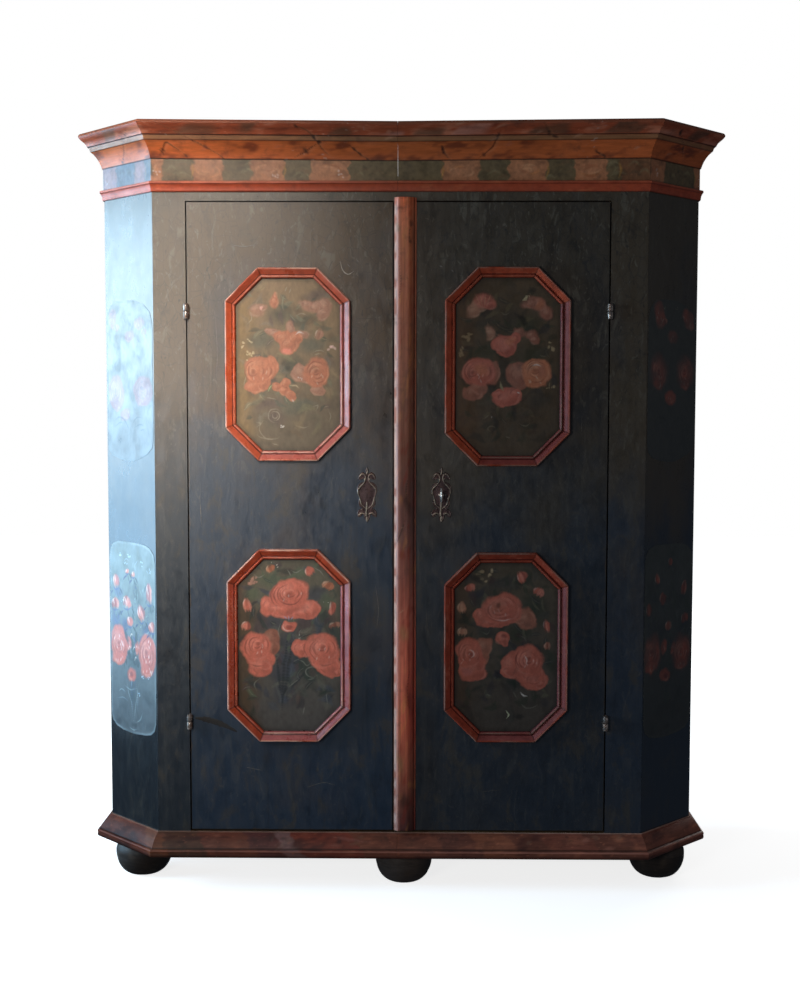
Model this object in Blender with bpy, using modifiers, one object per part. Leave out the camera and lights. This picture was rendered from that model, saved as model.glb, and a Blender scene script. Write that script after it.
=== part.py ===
"""Painted two-door cupboard with canted front corners.

Metres, +Z up, doors facing -Y. The origin lies on the floor, under the middle of the bounding box.
The cupboard is built in two halves that meet at a seam, as the real one is.
"""

import math

import bmesh
import bpy
from mathutils import Matrix, Vector

# Driving dimensions of the whole
FRONT_WIDTH = 1.204
CANT_LEG = 0.150
BODY_DEPTH = 0.520
SEAM_X = -0.005
SEAM_GAP = 0.0006
FIT = 0.0003

# Heights, from the floor up
FOOT_HEIGHT = 0.080
BASE_HEIGHT = 0.058
DOOR_GAP_BELOW = 0.0045
DOOR_HEIGHT = 1.550
DOOR_GAP_ABOVE = 0.003
RAIL_REVEAL = 0.024
ASTRAGAL_HEIGHT = 0.0255
FRIEZE_HEIGHT = 0.054
CROWN_HEIGHT = 0.084
CROWN_DIP = 0.006

# Boards
WALL = 0.024
DOOR_THICK = 0.026
BACK_THICK = 0.014
FLOOR_THICK = 0.022
ROOF_THICK = 0.018
FRIEZE_THICK = 0.016
FRIEZE_PROUD = 0.002

# Base frame and feet
BASE_PROUD = 0.036
BASE_LEDGE = 0.100
BACK_RAIL_DEPTH = 0.060
FOOT_RADIUS = 0.0715
FOOT_SOLE_RADIUS = 0.030
FOOT_NECK_RADIUS = 0.064
FOOT_SIDE_INSET = 0.0925
FOOT_FRONT_INSET = 0.105
FOOT_BACK_INSET = 0.090
CENTRE_FOOT_INSET = 0.058
CENTRE_FOOT_SHIFT = 0.016

# Mouldings
CROWN_PROUD = 0.059
ASTRAGAL_PROUD = 0.0108

# Doors
OPENING_HALF = 0.517
HINGE_GAP = 0.003
MEETING_GAP = 0.003
MEETING_SHIFT = -0.010
STRIP_WIDTH = 0.054
STRIP_PROUD = 0.016
STRIP_OVER_RAIL = 0.010
STRIP_SOLE = 0.002

# Octagonal panel mouldings
PANEL_CENTRE = 0.268
PANEL_WIDTH = 0.306
PANEL_CORNER = 0.080
PANEL_FRAME_WIDTH = 0.026
PANEL_FRAME_PROUD = 0.016

# Hinges
BARREL_RADIUS = 0.007
BARREL_LENGTH = 0.039
PIN_RADIUS = 0.0026
PIN_CLEARANCE = 0.0004
LEAF_DEPTH = 0.022
HINGE_HEIGHTS = {"upper": 1.2865, "lower": 0.2735}

# Lock, key and keeper
LOCK_HEIGHT = 0.840
LOCK_FROM_SEAM = 0.1075
LEFT_PLATE_FROM_SEAM = 0.075
PLATE_THICK = 0.0022
PLATE_HEIGHT = 0.138
PLATE_WIDTH = 0.050
KEYHOLE_RADIUS = 0.0047
KEYHOLE_SLOT_WIDTH = 0.0052
KEYHOLE_SLOT_DROP = 0.0145
SHANK_RADIUS = 0.0041
BIT_DROP = 0.0135
BIT_WIDTH = 0.007
BIT_THICK = 0.0032
BIT_SET_BACK = 0.001
BIT_TO_BOLT = 0.003
KEY_END_GAP = 0.0015
BOW_HEIGHT = 0.036
BOW_DEPTH = 0.026
BOW_WIRE = 0.0045
BOW_STAND_OFF = 0.018
CASE_WALL = 0.0025
CASE_SET_BACK = 0.004
CASE_BEHIND_KEY = 0.026
BOLT_BEHIND_KEY = 0.0156
BOLT_HEIGHT = 0.018
BOLT_THICK = 0.010
BOLT_CLEARANCE = 0.0004
KEEPER_LENGTH = 0.024
KEEPER_WALL = 0.005
KEEPER_CLEARANCE = 0.0012

# Each panel's foot and head above the door's foot. What faces the lock keeps its distance from it
PANEL_SPANS = {
    "upper_left": (LOCK_HEIGHT + 0.082, 1.392),
    "upper_right": (LOCK_HEIGHT + 0.070, 1.394),
    "lower_left": (0.225, LOCK_HEIGHT - 0.135),
    "lower_right": (0.226, LOCK_HEIGHT - 0.142),
}

# Turn button that holds the left door
BUTTON_LENGTH = 0.068
BUTTON_WIDTH = 0.018
BUTTON_THICK = 0.009
BUTTON_PIVOT_FROM_MEETING = 0.090
BUTTON_BELOW_TOP = 0.030
BUTTON_PIN_RADIUS = 0.003
BUTTON_PIN_DEPTH = 0.012
BUTTON_PIN_CLEARANCE = 0.0004
BUTTON_RIVET = 0.003

# Inside
SHELF_HEIGHT = 1.500
SHELF_THICK = 0.020
SHELF_FRONT_INSET = 0.175
SHELF_HOUSING = 0.006
RAIL_BELOW_SHELF = 0.060
RAIL_RADIUS = 0.014
RAIL_SOCKET = 0.008

# Worked out from the above
HALF_WIDTH = FRONT_WIDTH / 2
BODY_HALF = HALF_WIDTH + CANT_LEG
FACE_Y = -(BODY_DEPTH + CROWN_PROUD) / 2 + CROWN_PROUD
BACK_Y = FACE_Y + BODY_DEPTH
BASE_TOP = FOOT_HEIGHT + BASE_HEIGHT
LEDGE_TOP = BASE_TOP - FLOOR_THICK - FIT
DOOR_FOOT = BASE_TOP + DOOR_GAP_BELOW
DOOR_HEAD = DOOR_FOOT + DOOR_HEIGHT
ASTRAGAL_FOOT = DOOR_HEAD + RAIL_REVEAL
CARCASS_TOP = ASTRAGAL_FOOT + ASTRAGAL_HEIGHT
FRIEZE_TOP = CARCASS_TOP + FRIEZE_HEIGHT
TOTAL_HEIGHT = FRIEZE_TOP + CROWN_HEIGHT
MEETING_X = SEAM_X + MEETING_SHIFT
AXIS_Y = FACE_Y - BARREL_RADIUS - 2 * FIT
DOOR_BACK_Y = FACE_Y + DOOR_THICK
LOCK_X = SEAM_X + LOCK_FROM_SEAM
LOCK_Z = DOOR_FOOT + LOCK_HEIGHT
HALF_TURN_OF_CANT = math.radians(22.5)

PAINT_BLUE = (0.045, 0.060, 0.070)
PAINT_RED = (0.33, 0.085, 0.035)
PAINT_MARBLE = (0.36, 0.12, 0.045)
PAINT_OLIVE = (0.16, 0.14, 0.08)
BARE_WOOD = (0.34, 0.22, 0.13)
IRON = (0.045, 0.038, 0.036)


def clear_scene():
    for obj in list(bpy.data.objects):
        bpy.data.objects.remove(obj)


def collection(name):
    made = bpy.data.collections.new(name)
    bpy.context.scene.collection.children.link(made)
    return made


def material(name, colour, roughness, metallic):
    made = bpy.data.materials.get(name)
    if made:
        return made
    made = bpy.data.materials.new(name)
    made.use_nodes = True
    shader = made.node_tree.nodes["Principled BSDF"]
    shader.inputs["Base Color"].default_value = (*colour, 1.0)
    shader.inputs["Roughness"].default_value = roughness
    shader.inputs["Metallic"].default_value = metallic
    return made


def painted(name, colour):
    return material(name, colour, 0.42, 0.0)


def bare():
    return material("bare_wood", BARE_WOOD, 0.75, 0.0)


def iron():
    return material("wrought_iron", IRON, 0.45, 0.9)


def place(name, mesh, finish, origin=(0, 0, 0), parent=None, smooth_above=None):
    """Turns a mesh in world coordinates into an object whose origin is where the piece turns or slides."""
    mesh.transform(Matrix.Translation(-Vector(origin)))
    mesh.materials.clear()
    mesh.materials.append(finish)
    if smooth_above is not None:
        mesh.shade_smooth()
        mesh.set_sharp_from_angle(angle=math.radians(smooth_above))
    obj = bpy.data.objects.new(name, mesh)
    cupboard.objects.link(obj)
    obj.location = origin
    if parent:
        obj.parent = parent
        obj.matrix_parent_inverse = Matrix.Translation(-parent.location)
    return obj


def mesh_from(bm, name):
    bmesh.ops.recalc_face_normals(bm, faces=bm.faces)
    mesh = bpy.data.meshes.new(name)
    bm.to_mesh(mesh)
    bm.free()
    return mesh


def box_mesh(name, low, high):
    bm = bmesh.new()
    bmesh.ops.create_cube(bm, size=1)
    size = [b - a for a, b in zip(low, high)]
    middle = [(a + b) / 2 for a, b in zip(low, high)]
    bmesh.ops.scale(bm, vec=size, verts=bm.verts)
    bmesh.ops.translate(bm, vec=middle, verts=bm.verts)
    return mesh_from(bm, name)


def rod_mesh(name, start, end, radius, sides):
    """A round bar between two points, with its first corner kept at the same angle for every radius."""
    start, end = Vector(start), Vector(end)
    bm = bmesh.new()
    bmesh.ops.create_cone(
        bm,
        cap_ends=True,
        segments=sides,
        radius1=radius,
        radius2=radius,
        depth=(end - start).length,
        matrix=Matrix.Translation((start + end) / 2)
        @ (end - start).to_track_quat("Z", "Y").to_matrix().to_4x4(),
    )
    return mesh_from(bm, name)


def loft_mesh(name, sections, closed=False):
    """A solid through unlike sections, each a list of points in the same order, as a mitred length has."""
    bm = bmesh.new()
    rings = [[bm.verts.new(point) for point in section] for section in sections]
    pairs = list(zip(rings, rings[1:]))
    if closed:
        pairs.append((rings[-1], rings[0]))
    for ring, following in pairs:
        for i in range(len(ring)):
            j = (i + 1) % len(ring)
            bm.faces.new((ring[i], ring[j], following[j], following[i]))
    if not closed:
        bm.faces.new(rings[0])
        bm.faces.new(rings[-1])
    return mesh_from(bm, name)


def prism_mesh(name, outline, lift):
    """A flat outline of 3D points, drawn out along the vector lift."""
    bm = bmesh.new()
    face = bm.faces.new([bm.verts.new(point) for point in outline])
    drawn = bmesh.ops.extrude_face_region(bm, geom=[face])
    corners = [item for item in drawn["geom"] if isinstance(item, bmesh.types.BMVert)]
    bmesh.ops.translate(bm, vec=lift, verts=corners)
    return mesh_from(bm, name)


def turned_mesh(name, profile, centre, steps):
    """A round piece from a profile of (radius, height) that runs from top to bottom, turned by a Screw."""
    flat = bpy.data.meshes.new(name + "_profile")
    points = [(radius, 0, height) for radius, height in profile]
    flat.from_pydata(points, [(i, i + 1) for i in range(len(points) - 1)], [])
    turned = bpy.data.objects.new(name + "_profile", flat)
    cutters.objects.link(turned)
    screw = turned.modifiers.new("turn", "SCREW")
    screw.steps = steps
    screw.render_steps = steps
    screw.use_merge_vertices = True
    screw.merge_threshold = 0.00001
    mesh = evaluated_mesh(turned, name)
    bpy.data.objects.remove(turned)
    bm = bmesh.new()
    bm.from_mesh(mesh)
    bmesh.ops.remove_doubles(bm, verts=bm.verts, dist=0.00001)
    bmesh.ops.translate(bm, vec=centre, verts=bm.verts)
    return mesh_from(bm, name)


def evaluated_mesh(obj, name):
    bpy.context.view_layer.update()
    graph = bpy.context.evaluated_depsgraph_get()
    mesh = bpy.data.meshes.new_from_object(obj.evaluated_get(graph))
    mesh.name = name
    return mesh


def helper(name, mesh):
    """A cutter, kept out of the render."""
    obj = bpy.data.objects.new(name, mesh)
    cutters.objects.link(obj)
    obj.hide_render = True
    obj.display_type = "WIRE"
    return obj


def boolean(obj, other, operation):
    modifier = obj.modifiers.new(operation.lower(), "BOOLEAN")
    modifier.operation = operation
    modifier.object = other
    return modifier


def joined_mesh(name, meshes):
    """Several closed meshes made into one body."""
    first = helper(name + "_body", meshes[0])
    for number, mesh in enumerate(meshes[1:]):
        boolean(first, helper(f"{name}_joined_{number}", mesh), "UNION")
    mesh = evaluated_mesh(first, name)
    first.modifiers.clear()
    for obj in [first] + [cutters.objects[f"{name}_joined_{i}"] for i in range(len(meshes) - 1)]:
        bpy.data.objects.remove(obj)
    return mesh


def offset_path(path, distance, closed=False):
    """Moves a flat path sideways by a distance, keeping its corners mitred. Positive is to its right."""
    count = len(path)
    moved = []
    for i, point in enumerate(path):
        before = path[i - 1] if i > 0 or closed else None
        after = path[(i + 1) % count] if i < count - 1 or closed else None
        normals = []
        for start, end in ((before, point), (point, after)):
            if start is None or end is None:
                continue
            run = Vector(end) - Vector(start)
            normals.append(Vector((run.y, -run.x)).normalized())
        bisector = sum(normals, Vector((0, 0))).normalized()
        moved.append(Vector(point) + bisector * distance / bisector.dot(normals[0]))
    return moved


def swelling(start, end, swell, steps=4):
    """Points from start to end, without start, bowed to the left of the way by the swell."""
    start, end = Vector(start), Vector(end)
    across = Vector((start.y - end.y, end.x - start.x)).normalized()
    points = []
    for step in range(1, steps + 1):
        t = step / steps
        points.append(tuple(start.lerp(end, t) + across * swell * 4 * t * (1 - t)))
    return points


def plan_of_half(side):
    """The body's outer face in plan, from the seam round to the back. side is -1 or 1."""
    return [
        (SEAM_X + side * SEAM_GAP / 2, FACE_Y),
        (side * HALF_WIDTH, FACE_Y),
        (side * BODY_HALF, FACE_Y + CANT_LEG),
        (side * BODY_HALF, BACK_Y),
    ]


def half_points(side, proud):
    """The four plan points of a half, moved outwards from the body's face."""
    return offset_path(plan_of_half(side), side * proud)


def station(side, index, profile, shift=0.0, dip=0.0):
    """A section through a run of moulding at one plan corner. shift moves it along the run before it."""
    path = [Vector(point) for point in plan_of_half(side)]
    start = min(index, 2) if shift > 0 else max(index - 1, 0)
    along = (path[start + 1] - path[start]).normalized()
    section = []
    for proud, height in profile:
        x, y = half_points(side, proud)[index] + along * shift
        section.append((x, y, height - dip))
    return section


def run_mesh(name, side, run, profile, first_profile=None, dip=0.0):
    """One mitred length between plan corners run and run + 1."""
    slack = FIT / 2 / math.cos(HALF_TURN_OF_CANT)
    opening = slack if run > 0 else 0.0
    closing = -slack if run < 2 else 0.0
    return loft_mesh(
        name,
        [
            station(side, run, first_profile or profile, opening, dip if run == 0 else 0.0),
            station(side, run + 1, profile, closing),
        ],
    )


def bent_mesh(name, side, profile, first_profile=None):
    """A length that bends round both corners of a half."""
    sections = [station(side, 0, first_profile or profile)]
    sections += [station(side, index, profile) for index in (1, 2, 3)]
    return loft_mesh(name, sections)


def board_profile(inner, outer, low, high):
    return [(inner, low), (outer, low), (outer, high), (inner, high)]


def crown_profile():
    """The crown's section: a cove, a fillet and an overhanging top moulding."""
    foot = FRIEZE_TOP + FIT
    head = TOTAL_HEIGHT
    rise = head - foot
    cove_top = (0.49 * CROWN_PROUD, foot + 0.48 * rise)
    fillet_top = (0.59 * CROWN_PROUD, foot + 0.615 * rise)
    nose = (CROWN_PROUD, foot + 0.91 * rise)
    inner = FRIEZE_PROUD - FRIEZE_THICK
    points = [(inner, foot), (FRIEZE_PROUD + 0.0025, foot)]
    points += swelling(points[-1], cove_top, 0.0035)
    points += [(cove_top[0] + 0.0022, cove_top[1] + 0.0008), fillet_top]
    points += [(fillet_top[0] + 0.0035, fillet_top[1] + 0.0008)]
    points += swelling(points[-1], (0.80 * CROWN_PROUD, foot + 0.77 * rise), 0.0008, 2)
    points += swelling(points[-1], nose, -0.0012, 3)
    points += swelling(nose, (CROWN_PROUD - 0.0045, head), -0.0012, 3)
    return points + [(inner, head)]


def frieze_profile(dip=0.0):
    return board_profile(
        FRIEZE_PROUD - FRIEZE_THICK, FRIEZE_PROUD, CARCASS_TOP + FIT, FRIEZE_TOP - dip
    )


def astragal_profile():
    """A small moulding whose widest edge is its top."""
    foot, head = ASTRAGAL_FOOT, CARCASS_TOP
    points = [(FIT, foot), (0.30 * ASTRAGAL_PROUD, foot), (0.45 * ASTRAGAL_PROUD, foot + 0.003)]
    points += swelling(points[-1], (0.85 * ASTRAGAL_PROUD, head - 0.0075), 0.0012, 3)
    points += [(ASTRAGAL_PROUD, head - 0.006), (ASTRAGAL_PROUD, head - 0.0015)]
    return points + [(ASTRAGAL_PROUD - 0.0015, head), (FIT, head)]


def base_profile():
    """The base frame's section: a ledge that carries the body, and the moulding in front of it."""
    foot, head = FOOT_HEIGHT, BASE_TOP
    bead = foot + 0.020
    points = [(-BASE_LEDGE, foot), (BASE_PROUD - 0.004, foot)]
    points += swelling(points[-1], (BASE_PROUD, foot + 0.005), -0.0008, 2)
    points += [(BASE_PROUD - 0.0005, foot + 0.013)]
    points += swelling(points[-1], (BASE_PROUD - 0.004, bead), -0.0022, 4)
    points += [(BASE_PROUD - 0.0065, bead + 0.001)]
    points += swelling(points[-1], (0.004, head - 0.003), -0.0028, 5)
    points += [(0.0035, head), (FIT, head), (FIT, LEDGE_TOP)]
    return points + [(-BASE_LEDGE, LEDGE_TOP)]


def side_name(side):
    return "left" if side < 0 else "right"


def build_carcass(side):
    """The upright boards of one half, mitred where they meet."""
    name = side_name(side)
    low, high = LEDGE_TOP + FIT, CARCASS_TOP
    section = board_profile(-WALL, 0.0, low, high)
    finish = painted("blue_body_paint", PAINT_BLUE)
    inner_edge = SEAM_X + side * OPENING_HALF
    corner = half_points(side, -WALL)[1]
    slack = side * FIT / 2 / math.cos(HALF_TURN_OF_CANT)
    stile = [
        (inner_edge, FACE_Y, low),
        (side * HALF_WIDTH - slack, FACE_Y, low),
        (corner.x - slack, corner.y, low),
        (inner_edge, FACE_Y + WALL, low),
    ]
    place(f"stile_{name}", prism_mesh("stile", stile, (0, 0, high - low)), finish)
    place(f"cant_board_{name}", run_mesh("cant", side, 1, section), finish)
    board = place(f"side_board_{name}", run_mesh("side", side, 2, section), finish)
    boolean(board, helper(f"shelf_housing_{name}", shelf_mesh(FIT)), "DIFFERENCE")
    socket = helper(f"rail_socket_{name}", hanging_rail_mesh(RAIL_RADIUS + FIT, FIT))
    boolean(board, socket, "DIFFERENCE")
    seam_edge = SEAM_X + side * SEAM_GAP / 2
    ends = sorted((seam_edge, inner_edge - side * FIT))
    rail = box_mesh(
        "rail",
        (ends[0], FACE_Y, DOOR_HEAD + DOOR_GAP_ABOVE),
        (ends[1], FACE_Y + WALL, CARCASS_TOP),
    )
    place(f"top_rail_{name}", rail, finish)
    back_ends = sorted((seam_edge, side * (BODY_HALF - WALL - FIT)))
    back = box_mesh(
        "back", (back_ends[0], BACK_Y - BACK_THICK, low), (back_ends[1], BACK_Y, CARCASS_TOP)
    )
    place(f"back_board_{name}", back, bare())


def inner_corners(side, inset):
    """Plan points along the inside of one half's boards, from the front corner to the back."""
    return [tuple(point) for point in half_points(side, -inset)[1:]]


def build_floor(side):
    name = side_name(side)
    seam_edge = SEAM_X + side * SEAM_GAP / 2
    lip = SEAM_X + side * (OPENING_HALF - FIT)
    corner, cant_end, back_end = inner_corners(side, WALL + FIT)
    back_y = BACK_Y - BACK_THICK - FIT
    outline = [
        (seam_edge, FACE_Y),
        (lip, FACE_Y),
        (lip, corner[1]),
        corner,
        cant_end,
        (back_end[0], back_y),
        (seam_edge, back_y),
    ]
    low = LEDGE_TOP + FIT
    board = prism_mesh("floor", [(x, y, low) for x, y in outline], (0, 0, BASE_TOP - low))
    place(f"floor_board_{name}", board, bare())


def build_roof(side):
    name = side_name(side)
    seam_edge = SEAM_X + side * SEAM_GAP / 2
    corner, cant_end, back_end = inner_corners(side, FRIEZE_THICK - FRIEZE_PROUD + FIT)
    outline = [(seam_edge, corner[1]), corner, cant_end, back_end, (seam_edge, BACK_Y)]
    low = CARCASS_TOP + FIT
    board = prism_mesh("roof", [(x, y, low) for x, y in outline], (0, 0, ROOF_THICK))
    place(f"roof_board_{name}", board, bare())


def build_mouldings(side):
    """Crown and base in three lengths a half, frieze and astragal bent round each half."""
    name = side_name(side)
    marble = painted("marbled_red_paint", PAINT_MARBLE)
    for run, place_name in enumerate(("front", "cant", "side")):
        crown = run_mesh("crown", side, run, crown_profile(), dip=CROWN_DIP)
        place(f"crown_{place_name}_{name}", crown, marble, smooth_above=32)
        base = run_mesh("base", side, run, base_profile())
        place(f"base_{place_name}_{name}", base, marble, smooth_above=32)
    frieze = bent_mesh("frieze", side, frieze_profile(), frieze_profile(CROWN_DIP))
    place(f"frieze_{name}", frieze, painted("olive_frieze_paint", PAINT_OLIVE))
    astragal = bent_mesh("astragal", side, astragal_profile())
    place(f"astragal_{name}", astragal, painted("red_paint", PAINT_RED), smooth_above=32)


def build_back_rail():
    """The plain rear member of the base frame, between the ledges of the two sides."""
    half = BODY_HALF - BASE_LEDGE - FIT
    rail = box_mesh(
        "base_back",
        (-half, BACK_Y - BACK_RAIL_DEPTH, FOOT_HEIGHT),
        (half, BACK_Y, LEDGE_TOP),
    )
    place("base_back_rail", rail, bare())


def foot_profile():
    """Radius and height of a bun foot, from its flat top to its sole."""
    head = FOOT_HEIGHT - FIT
    widest = 0.74 * head
    points = [(0.0, head), (FOOT_NECK_RADIUS, head)]
    points += swelling(points[-1], (FOOT_RADIUS, widest), 0.0022, 4)
    for step in range(1, 9):
        angle = math.pi / 2 * step / 8
        radius = FOOT_SOLE_RADIUS + (FOOT_RADIUS - FOOT_SOLE_RADIUS) * math.cos(angle)
        points.append((radius, widest * (1 - math.sin(angle))))
    return points + [(0.0, 0.0)]


def build_feet():
    side_x = BODY_HALF - FOOT_SIDE_INSET
    spots = {
        "front_left": (-side_x, FACE_Y + FOOT_FRONT_INSET),
        "front_right": (side_x, FACE_Y + FOOT_FRONT_INSET),
        "front_centre": (SEAM_X + CENTRE_FOOT_SHIFT, FACE_Y + CENTRE_FOOT_INSET),
        "back_left": (-side_x, BACK_Y - FOOT_BACK_INSET),
        "back_right": (side_x, BACK_Y - FOOT_BACK_INSET),
    }
    finish = painted("black_foot_paint", (0.012, 0.011, 0.010))
    for name, (x, y) in spots.items():
        foot = turned_mesh("foot", foot_profile(), (x, y, 0), 32)
        place(f"foot_{name}", foot, finish, origin=(x, y, 0), smooth_above=40)


def shelf_mesh(grow=0.0):
    """The hat shelf, whose ends sit in housings in the side boards. grow makes the housing's cutter."""
    half = BODY_HALF - WALL + SHELF_HOUSING - FIT + grow
    low = (-half, FACE_Y + SHELF_FRONT_INSET - grow, SHELF_HEIGHT - grow)
    high = (half, BACK_Y - BACK_THICK - FIT + grow, SHELF_HEIGHT + SHELF_THICK + grow)
    return box_mesh("shelf", low, high)


def hanging_rail_mesh(radius, grow=0.0):
    half = BODY_HALF - WALL + RAIL_SOCKET - FIT + grow
    height = SHELF_HEIGHT - RAIL_BELOW_SHELF
    middle_y = (FACE_Y + BACK_Y + WALL) / 2
    return rod_mesh("rail", (-half, middle_y, height), (half, middle_y, height), radius, 20)


def build_inside():
    place("hat_shelf", shelf_mesh(), bare())
    place("hanging_rail", hanging_rail_mesh(RAIL_RADIUS), bare(), smooth_above=40)


def door_edges(side):
    """The x of a door's hinge edge and of its meeting edge."""
    return SEAM_X + side * (OPENING_HALF - HINGE_GAP), MEETING_X + side * MEETING_GAP / 2


def octagon(side, span):
    """The outline of a panel moulding on the door's face, as (x, z), anticlockwise from the front."""
    centre = SEAM_X + side * PANEL_CENTRE
    left, right = centre - PANEL_WIDTH / 2, centre + PANEL_WIDTH / 2
    low, high = DOOR_FOOT + span[0], DOOR_FOOT + span[1]
    cut = PANEL_CORNER
    return [
        (left + cut, low),
        (right - cut, low),
        (right, low + cut),
        (right, high - cut),
        (right - cut, high),
        (left + cut, high),
        (left, high - cut),
        (left, low + cut),
    ]


def panel_frame_profile():
    """Inward distance and height of a panel moulding: a round outer crest, a hollow and an inner bead."""
    shares = [
        (0.00, 0.62), (0.02, 0.80), (0.07, 0.93), (0.13, 1.00), (0.19, 0.97), (0.27, 0.84),
        (0.35, 0.66), (0.43, 0.52), (0.50, 0.46), (0.60, 0.49), (0.70, 0.57), (0.76, 0.63),
        (0.82, 0.66), (0.88, 0.64), (0.94, 0.56), (1.00, 0.40),
    ]
    points = [(PANEL_FRAME_WIDTH * u, PANEL_FRAME_PROUD * v) for u, v in shares]
    return [(0.0, FIT)] + points + [(PANEL_FRAME_WIDTH, FIT)]


def build_panel_frame(side, name, span, parent):
    outline = octagon(side, span)
    sections = []
    profile = panel_frame_profile()
    rings = [offset_path(outline, -inward, closed=True) for inward, height in profile]
    for corner in range(len(outline)):
        section = []
        for ring, (inward, height) in zip(rings, profile):
            x, z = ring[corner]
            section.append((x, FACE_Y - height, z))
        sections.append(section)
    frame = loft_mesh("panel_frame", sections, closed=True)
    finish = painted("red_paint", PAINT_RED)
    place(f"panel_frame_{name}", frame, finish, parent.location, parent, smooth_above=32)


def empty(name, location, parent=None):
    made = bpy.data.objects.new(name, None)
    cupboard.objects.link(made)
    made.location = location
    made.empty_display_size = 0.05
    if parent:
        made.parent = parent
        made.matrix_parent_inverse = Matrix.Translation(-parent.location)
    return made


def build_door(side):
    name = side_name(side)
    hinge_x = SEAM_X + side * (OPENING_HALF - HINGE_GAP / 2)
    axis = empty(f"{name}_door_axis", (hinge_x, AXIS_Y, DOOR_FOOT))
    ends = sorted(door_edges(side))
    leaf = box_mesh("door", (ends[0], FACE_Y, DOOR_FOOT), (ends[1], DOOR_BACK_Y, DOOR_HEAD))
    door = place(f"door_{name}", leaf, painted("blue_body_paint", PAINT_BLUE), axis.location, axis)
    for level in ("upper", "lower"):
        panel = f"{level}_{name}"
        build_panel_frame(side, panel, PANEL_SPANS[panel], axis)
        build_hinge(side, panel, DOOR_FOOT + HINGE_HEIGHTS[level], hinge_x, axis)
    return door, axis


def build_hinge(side, name, height, hinge_x, axis):
    """A lift-off hinge: the frame's half carries the pin, and the door's half turns on it."""
    half = BARREL_LENGTH / 2
    leaf_half = HINGE_GAP / 2 - FIT
    low, high = height - half, height + half

    def leaf(bottom, top):
        return box_mesh(
            "leaf",
            (hinge_x - leaf_half, AXIS_Y + BARREL_RADIUS / 2, bottom),
            (hinge_x + leaf_half, FACE_Y + LEAF_DEPTH, top),
        )

    def rod(bottom, top, radius):
        return rod_mesh("rod", (hinge_x, AXIS_Y, bottom), (hinge_x, AXIS_Y, top), radius, 20)

    lower = joined_mesh(
        "hinge_frame_half",
        [
            rod(low, height - FIT, BARREL_RADIUS),
            rod(height - half / 2, high - FIT, PIN_RADIUS),
            leaf(low, height - FIT),
        ],
    )
    place(f"hinge_frame_half_{name}", lower, iron(), smooth_above=40)
    barrel = rod(height + FIT, high, BARREL_RADIUS)
    upper = joined_mesh("hinge_door_half", [barrel, leaf(height + FIT, high)])
    knuckle = place(f"hinge_door_half_{name}", upper, iron(), axis.location, axis, smooth_above=40)
    bore = rod(height - half, high + half, PIN_RADIUS + PIN_CLEARANCE)
    boolean(knuckle, helper(f"hinge_bore_{name}", bore), "DIFFERENCE")


def build_strip(axis):
    """The half-round cover strip on the right door's meeting edge, its top in front of the rail."""
    left = door_edges(1)[1]
    right = left + STRIP_WIDTH
    back_y = FACE_Y - FIT
    front_y = FACE_Y - STRIP_PROUD
    rise = 0.55 * STRIP_PROUD
    section = [(left, back_y), (left, back_y - 0.35 * STRIP_PROUD)]
    for step in range(1, 6):
        angle = math.pi / 2 * step / 5
        x = left + rise * (1 - math.cos(angle))
        section.append((x, front_y + rise * (1 - math.sin(angle))))
    section += [(right - 0.40 * STRIP_WIDTH, front_y)]
    for step in range(1, 7):
        angle = math.pi / 2 * step / 6
        x = right - 0.40 * STRIP_WIDTH + 0.32 * STRIP_WIDTH * math.sin(angle)
        section.append((x, front_y + (STRIP_PROUD - 0.0035) * (1 - math.cos(angle))))
    section += [(right, FACE_Y - 0.0035), (right, back_y)]
    low, high = DOOR_FOOT + STRIP_SOLE, DOOR_HEAD + STRIP_OVER_RAIL
    strip = prism_mesh("strip", [(x, y, low) for x, y in section], (0, 0, high - low))
    finish = painted("marbled_red_paint", PAINT_MARBLE)
    place("cover_strip", strip, finish, axis.location, axis, smooth_above=32)


def plate_outline():
    """Half of a wrought plate, as (x, z) shares of its half width and half height, from top to bottom."""
    return [
        (0.00, 1.00), (0.16, 0.86), (0.10, 0.74), (0.42, 0.80), (0.78, 0.70), (0.86, 0.56),
        (0.60, 0.52), (0.36, 0.56), (0.30, 0.46), (0.62, 0.42), (0.92, 0.30), (1.00, 0.12),
        (0.88, -0.02), (0.78, -0.14), (0.86, -0.28), (0.74, -0.42), (0.52, -0.50), (0.78, -0.54),
        (0.98, -0.66), (0.90, -0.80), (0.62, -0.78), (0.40, -0.70), (0.30, -0.80), (0.18, -0.92),
        (0.00, -1.00),
    ]


def build_plate(side, axis):
    """A wrought escutcheon on the door's face. The left one covers no lock and has no keyhole."""
    name = side_name(side)
    centre_x = LOCK_X if side > 0 else SEAM_X - LEFT_PLATE_FROM_SEAM
    half = plate_outline()
    full = half + [(-x, z) for x, z in reversed(half[1:-1])]
    outline = [
        (centre_x + x * PLATE_WIDTH / 2, FACE_Y - FIT, LOCK_Z + z * PLATE_HEIGHT / 2) for x, z in full
    ]
    plate = prism_mesh("plate", outline, (0, -PLATE_THICK, 0))
    return place(f"escutcheon_{name}", plate, iron(), axis.location, axis)


def keyhole_mesh(front_y, back_y):
    """A keyhole right through whatever lies between two depths."""
    slot_half = KEYHOLE_SLOT_WIDTH / 2
    meet = math.asin(slot_half / KEYHOLE_RADIUS)
    outline = [(slot_half, -KEYHOLE_SLOT_DROP)]
    steps = 18
    for step in range(steps + 1):
        angle = -math.pi / 2 + meet + (2 * math.pi - 2 * meet) * step / steps
        outline.append((KEYHOLE_RADIUS * math.cos(angle), KEYHOLE_RADIUS * math.sin(angle)))
    outline.append((-slot_half, -KEYHOLE_SLOT_DROP))
    points = [(LOCK_X + x, front_y, LOCK_Z + z) for x, z in outline]
    return prism_mesh("keyhole", points, (0, back_y - front_y, 0))


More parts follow.
